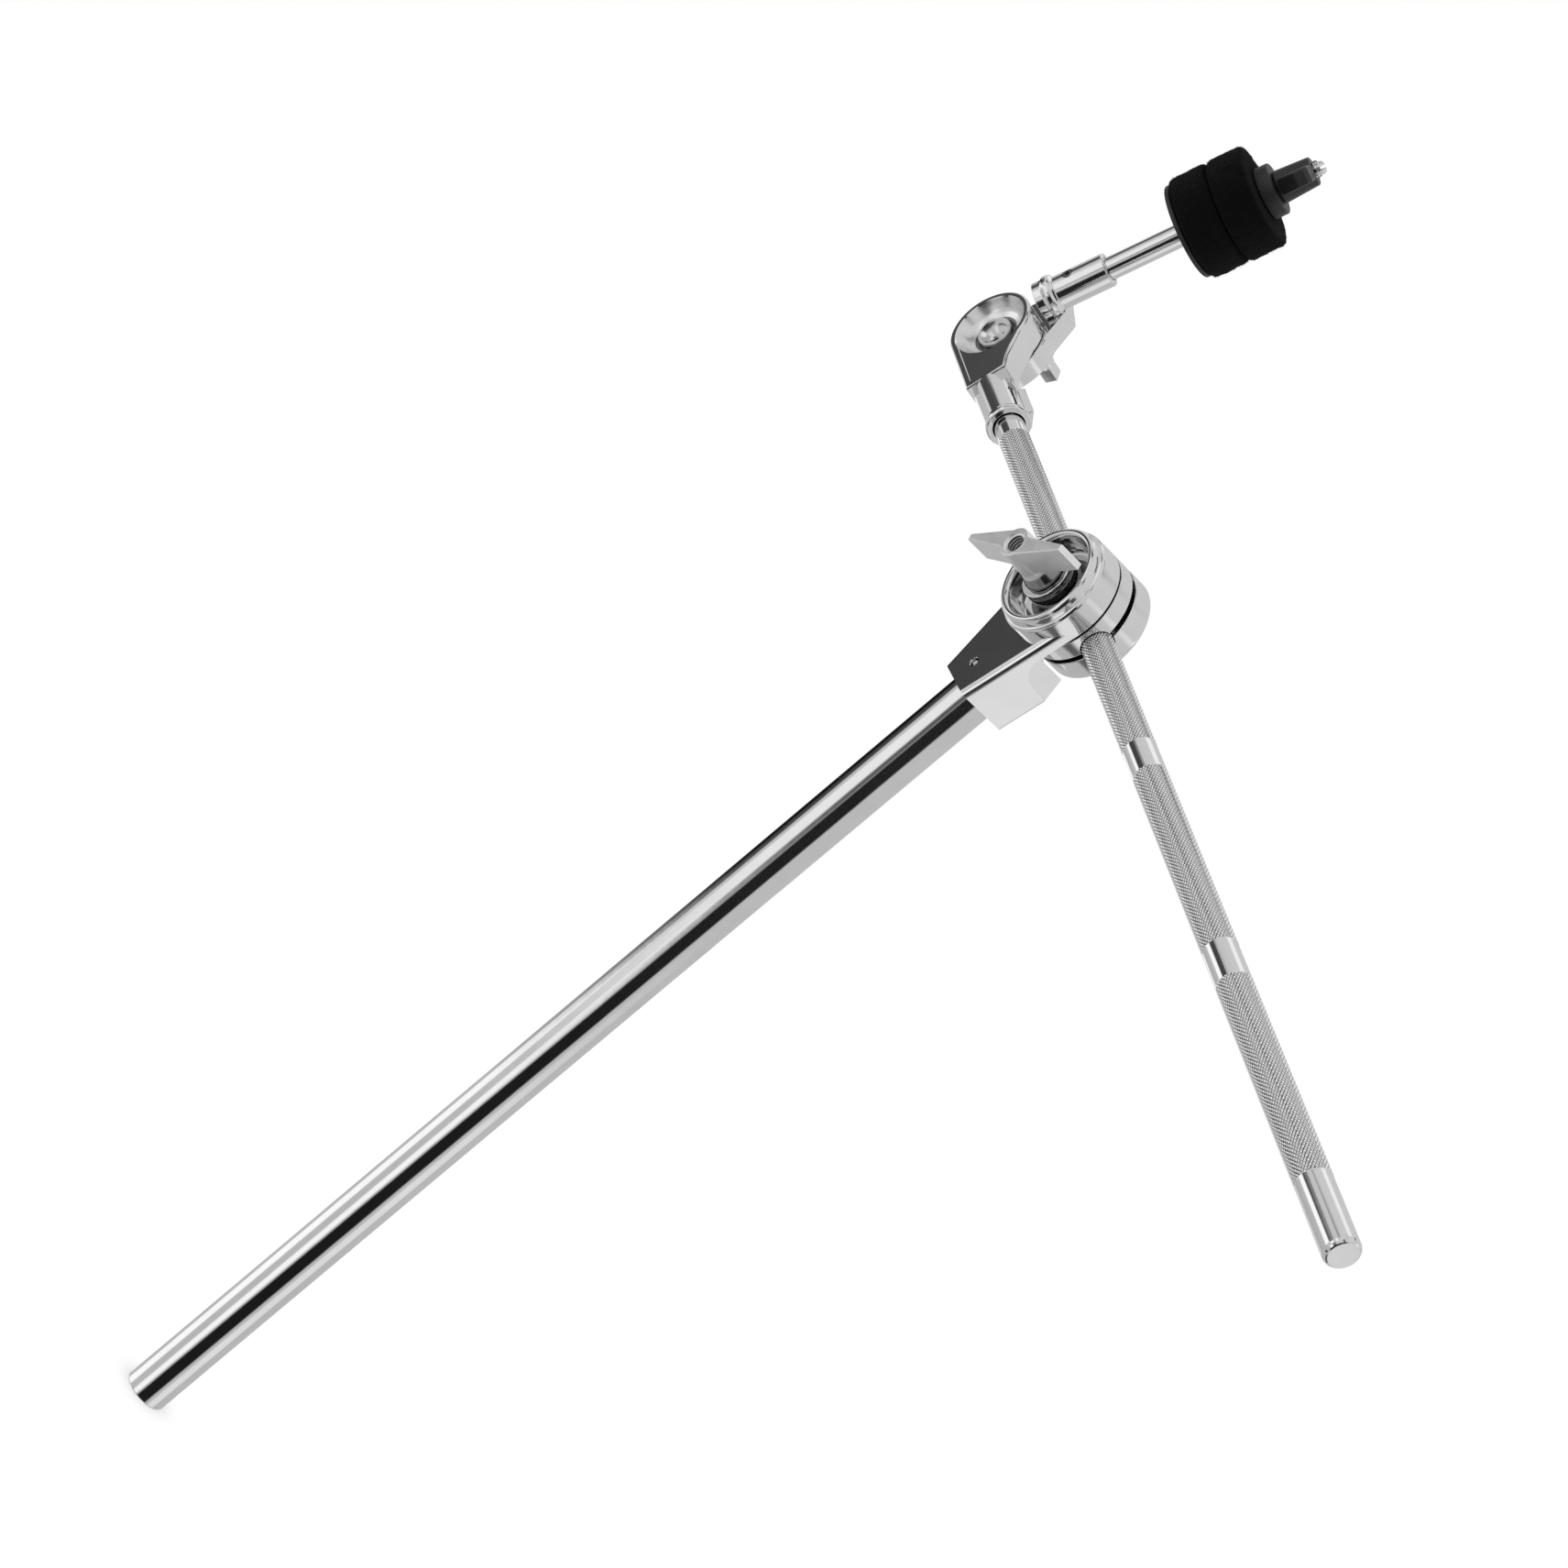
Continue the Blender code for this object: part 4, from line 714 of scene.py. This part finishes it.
upper_half = plate("tilter_upper_half_cast",
                   arc((0, 0), 19.5, -200, 70, 64) + [(-3.4, 28.6), (-17.0, 28.6), (-19.0, 26.0)],
                   4.3, 13.3, PIVOT, 0.6, 0.8)
weld(upper_half, lathe("upper_socket", [
    (0, 51.3, 0), (7.15, 51.3, 0.8), (7.15, 28.4, 0.4), (8.5, 27.6, 0.5), (9.0, 26.4, 0.4), (9.0, 24.6, 0.5),
    (8.2, 23.2, 0.4), (8.2, 19.6, 0.3), (0, 19.6, 0)], CYMBAL, 96))
cut(upper_half,
    peg("rod_bore", 5.1, 56.3, 30, CYMBAL, 96),
    lathe("nut_recess", [(0, 20, 0), (6.0, 20, 0), (6.0, 9.4, 0), (3.3, 9.4, 0), (3.3, -10, 0), (0, -10, 0)],
          PIVOT @ LAID_ALONG_Y, 64),
    peg("key_hole", 2.8, 20, 0, KEY @ LAID_ALONG_Y, 48),
    peg("grub_hole", 2.3, 0, -12, CYMBAL @ Matrix.Translation((0, 0, 0.0355)) @ LAID_ALONG_Y, 48))
polish(upper_half, chrome("upper_cast_chrome", (1, 1, 1), 0.06))
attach(upper_half, "upper_tilter")
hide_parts("tilter_upper_half")

# Tilt key bolt -----------------------------------------------------------------------------
# A round collar with a square head for a drum key; it locks the tilt.
key_bolt = lathe("tilt_key_bolt_turned", [
    (0, 19.3, 0), (4.3, 19.3, 0.5), (4.3, 13.6, 0.3), (2.5, 13.6, 0.1), (2.5, 4.4, 0.5), (0, 4.4, 0)],
    KEY @ LAID_ALONG_Y, 64)
weld(key_bolt, block("key_square", (0, 22.4, 0), (6, 8.2, 6),
                     KEY @ Matrix.Rotation(math.radians(20), 4, "Y"), 0.7))
polish(key_bolt, chrome("key_bolt_plated_chrome", haze=0.08))
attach(key_bolt, "tilt_key_bolt")
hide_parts("tilt_key_bolt")

# Cymbal rod and its grub screw ---------------------------------------------------------------
# A plated steel rod, turned down and threaded above its shoulder, with a slot across its tip.
cymbal_rod = lathe("cymbal_rod_turned", [
    (0, 146.6, 0), (2.1, 146.6, 0.25), (2.55, 145.9, 0.1), (2.55, 133.6, 0), (3.0, 133.0, 0),
    (3.0, 85.5, 0), (4.8, 85.5, 0.4), (4.8, 30.4, 0.6), (0, 30.4, 0)], CYMBAL, 96)
weld(cymbal_rod, thread("rod_thread", 3.0, 0.45, 1.0, 134.0, 145.6, CYMBAL))
cut(cymbal_rod, block("tip_slot", (0, 0, 146.6), (12, 1.1, 12),
                      CYMBAL @ Matrix.Rotation(math.radians(-33), 4, "Z")))
polish(cymbal_rod, chrome("cymbal_rod_turned_chrome", (1, 1, 0.02)))
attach(cymbal_rod, "upper_tilter")
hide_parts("cymbal_rod")

GRUB = CYMBAL @ Matrix.Translation((0, 0, 0.0355)) @ Matrix.Rotation(math.radians(90), 4, "X")
socket_grub = lathe("socket_grub_turned", [
    (0, 7.05, 0), (2.0, 7.05, 0.25), (2.0, 5.1, 0.2), (0, 5.1, 0)], GRUB, 48)
cut(socket_grub, peg("grub_key", 1.1, 8, 5.6, GRUB, 6))
polish(socket_grub, steel("grub_black_steel", 0.24, 0.32))
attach(socket_grub, "upper_tilter")
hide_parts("socket_grub")

# Seat washer and sleeve --------------------------------------------------------------------
# Black moulded plastic: a thin dished washer on the rod's shoulder and the tube that keeps the
# cymbal off the thread.


def black_plastic(name, gloss=0.42, tone=0.008):
    """Moulded black plastic: satin, with a fine spark-eroded grain and a little dust."""
    moulded = Finish(name, Specular_IOR_Level=0.5)
    dust = moulded.clouds(6, 4.0)
    grain = moulded.clouds(0.22, 2.0)
    moulded.tint((tone * 0.6,) * 3, (tone * 1.7,) * 3, dust * 0.6 + grain * 0.4)
    moulded.sheen_of(gloss + dust * 0.12 + grain * 0.05)
    moulded.relief(grain * 0.7 + dust * 0.3, 0.03)
    return moulded.material


seat_washer = lathe("seat_washer_moulded", [
    (20.0, 87.8, 0.6), (20.0, 85.8, 0.6), (3.3, 85.8, 0.1), (3.3, 87.8, 0.1)], CYMBAL, 112, ring=True)
polish(seat_washer, black_plastic("seat_black_plastic"))
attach(seat_washer, "upper_tilter")
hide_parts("seat_washer")

sleeve = lathe("cymbal_sleeve_moulded", [
    (6.0, 116.2, 0.3), (6.0, 88.1, 0.3), (3.3, 88.1, 0.1), (3.3, 116.2, 0.3)], CYMBAL, 64, ring=True)
polish(sleeve, black_plastic("sleeve_black_nylon", 0.5))
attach(sleeve, "upper_tilter")
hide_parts("cymbal_sleeve")

# Felts -------------------------------------------------------------------------------------
# Two thick discs of pressed black wool felt, one under and one over the cymbal. Cut edges are
# uneven and soft, and loose fibres stand off them.
FELT_RADIUS = 21.75
FIBRE_TUFTS = 40
FIBRES_IN_TUFT = 65


def wool_felt(name):
    """Pressed wool: nearly black, dead matt, with a tangle of fibres and paler flecks."""
    felt = Finish(name, Sheen_Weight=0.02, Sheen_Roughness=0.5, Specular_IOR_Level=0.03)
    clumps = felt.clouds(2.4, 5.0, roughness=0.65)
    tangle = felt.clouds(0.5, 6.0, roughness=0.8)
    flecks = felt.pits(1.6, 0.12)
    felt.tint((0.0003, 0.0003, 0.0003), (0.0055, 0.0055, 0.0056),
              (clumps * 0.5 + tangle * 0.6 + flecks * 0.5 - 0.1).clamped())
    felt.sheen_of(0.88 + tangle * 0.12)
    felt.relief(clumps * 0.5 + tangle * 0.5, 0.9)
    return felt.material


for felt_name, low, high, body in (("lower_felt", 88.1, 104.0, "upper_tilter"),
                                   ("upper_felt", 104.3, 120.2, "upper_felt")):
    dice = random.Random(felt_name)
    work = bmesh.new()
    rim = [(FELT_RADIUS, high - 1.9), (FELT_RADIUS - 0.45, high - 0.75), (FELT_RADIUS - 1.5, high - 0.15)]
    line = [(6.3, high - 0.25), (9.0, high - 0.1), (12.5, high - 0.1), (16.5, high - 0.1)] + rim[::-1]
    line += [(FELT_RADIUS, low + (high - low) * share) for share in (0.75, 0.62, 0.5, 0.38, 0.25)]
    line += [(radius, low + high - height) for radius, height in rim]
    line += [(16.5, low + 0.1), (12.5, low + 0.1), (9.0, low + 0.1), (6.3, low + 0.25)]
    points = [work.verts.new((radius, 0, height)) for radius, height in line]
    for start, end in zip(points, points[1:] + points[:1]):
        work.edges.new((start, end))
    bmesh.ops.spin(work, geom=work.verts[:] + work.edges[:], cent=(0, 0, 0), axis=(0, 0, 1),
                   angle=math.tau, steps=120, use_merge=True)
    bmesh.ops.subdivide_edges(work, edges=work.edges[:], cuts=1, use_grid_fill=True)
    bmesh.ops.recalc_face_normals(work, faces=work.faces)
    work.normal_update()
    shift = Vector((dice.uniform(-50, 50) for _ in range(3)))
    roots = [(point.co.copy(), point.normal.copy()) for point in work.verts if point.co.xy.length > 12]
    for point in work.verts:
        if point.co.xy.length > 7:
            swell = (noise.noise(point.co * 0.16 + shift) * 0.35
                     + noise.noise(point.co * 0.55 + shift) * 0.22
                     + noise.noise(point.co * 1.7 + shift) * 0.12 - 0.12)
            outward = Vector((point.co.x, point.co.y, 0)).normalized()
            edge_share = min(1.0, max(0.0, (point.co.xy.length - 17) / 4))
            point.co += (point.normal * min(swell, 0.05) * (0.5 + 0.5 * edge_share)
                         + outward * swell * 0.4 * edge_share)
    for _ in range(FIBRE_TUFTS):
        tuft = bmesh.new()
        for _ in range(FIBRES_IN_TUFT):
            root, normal = dice.choice(roots)
            loose = bmesh.ops.create_cone(tuft, cap_ends=True, segments=3, radius1=0.035, radius2=0.012,
                                          depth=dice.uniform(0.5, 1.3))["verts"]
            lean = (normal + Vector([dice.gauss(0, 0.8) for _ in range(3)])).normalized()
            if abs(normal.z) > 0.7:
                lean = Vector((lean.x, lean.y, lean.z * 0.12)).normalized()
            foot = Matrix.Translation(root - normal * 0.12 + lean * 0.3)
            bmesh.ops.transform(tuft, verts=loose,
                                matrix=foot @ lean.to_track_quat("Z", "Y").to_matrix().to_4x4())
        tuft_mesh = bpy.data.meshes.new("tuft")
        tuft.to_mesh(tuft_mesh)
        tuft.free()
        work.from_mesh(tuft_mesh)
        bpy.data.meshes.remove(tuft_mesh)
    felt = solid(felt_name + "_pressed", work, CYMBAL)
    felt.data.materials.append(wool_felt(felt_name + "_black_wool"))
    felt.data.shade_smooth()
    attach(felt, body)
    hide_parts(felt_name)

# Nut washer --------------------------------------------------------------------------------
# The broad moulded foot of the plastic wing nut, which presses on the upper felt.
nut_washer = lathe("nut_washer_moulded", [
    (10.9, 126.5, 0.7), (10.9, 120.5, 0.5), (3.3, 120.5, 0.1), (3.3, 126.5, 0.2)], CYMBAL, 96, ring=True)
polish(nut_washer, black_plastic("nut_washer_black_plastic", 0.38))
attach(nut_washer, "nut_washer")
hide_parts("nut_washer")

# Cymbal wing nut and its insert ---------------------------------------------------------------
# Black moulded plastic with a wide flat paddle, moulded round a threaded brass insert.
PADDLE = CYMBAL @ Matrix.Rotation(math.radians(-33), 4, "Z")

cymbal_nut = lathe("cymbal_wing_nut_moulded", [
    (0, 142.2, 0), (5.6, 142.2, 0.3), (6.0, 141.8, 0.2), (6.9, 127.3, 0.3), (6.5, 126.8, 0.2),
    (0, 126.8, 0)],
    CYMBAL, 96)
weld(cymbal_nut, plate("paddle", [
    (-9.0, 128.3), (9.0, 128.3), (17.0, 136.7), (17.0, 140.7), (15.5, 142.2), (-15.5, 142.2), (-17.0, 140.7),
    (-17.0, 136.7)], -3.5, 3.5, PADDLE, 1.0, 1.0))
cut(cymbal_nut,
    peg("insert_room", 4.9, 135.8, 121, CYMBAL, 64),
    peg("rod_room", 3.3, 147, 121, CYMBAL, 64))
polish(cymbal_nut, black_plastic("wing_nut_black_plastic", 0.36))
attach(cymbal_nut, "cymbal_nut")
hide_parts("cymbal_wing_nut")

brass = Finish("insert_turned_brass", metallic=1.0)
brass_tarnish = brass.clouds(2.5, 4.0)
brass_marks = brass.clouds(0.3, 2.0, (1, 1, 0.2))
brass.tint((0.50, 0.33, 0.12), (0.80, 0.59, 0.27), brass_tarnish)
brass.sheen_of(0.22 + brass_tarnish * 0.2)
brass.relief(brass_marks, 0.04)
insert = lathe("nut_insert_turned", [
    (4.6, 135.5, 0.3), (4.6, 126.8, 0.3), (3.3, 126.8, 0.2), (3.3, 135.5, 0.2)], CYMBAL, 64, ring=True)
polish(insert, brass.material)
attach(insert, "cymbal_nut")
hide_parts("nut_insert")

low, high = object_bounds()
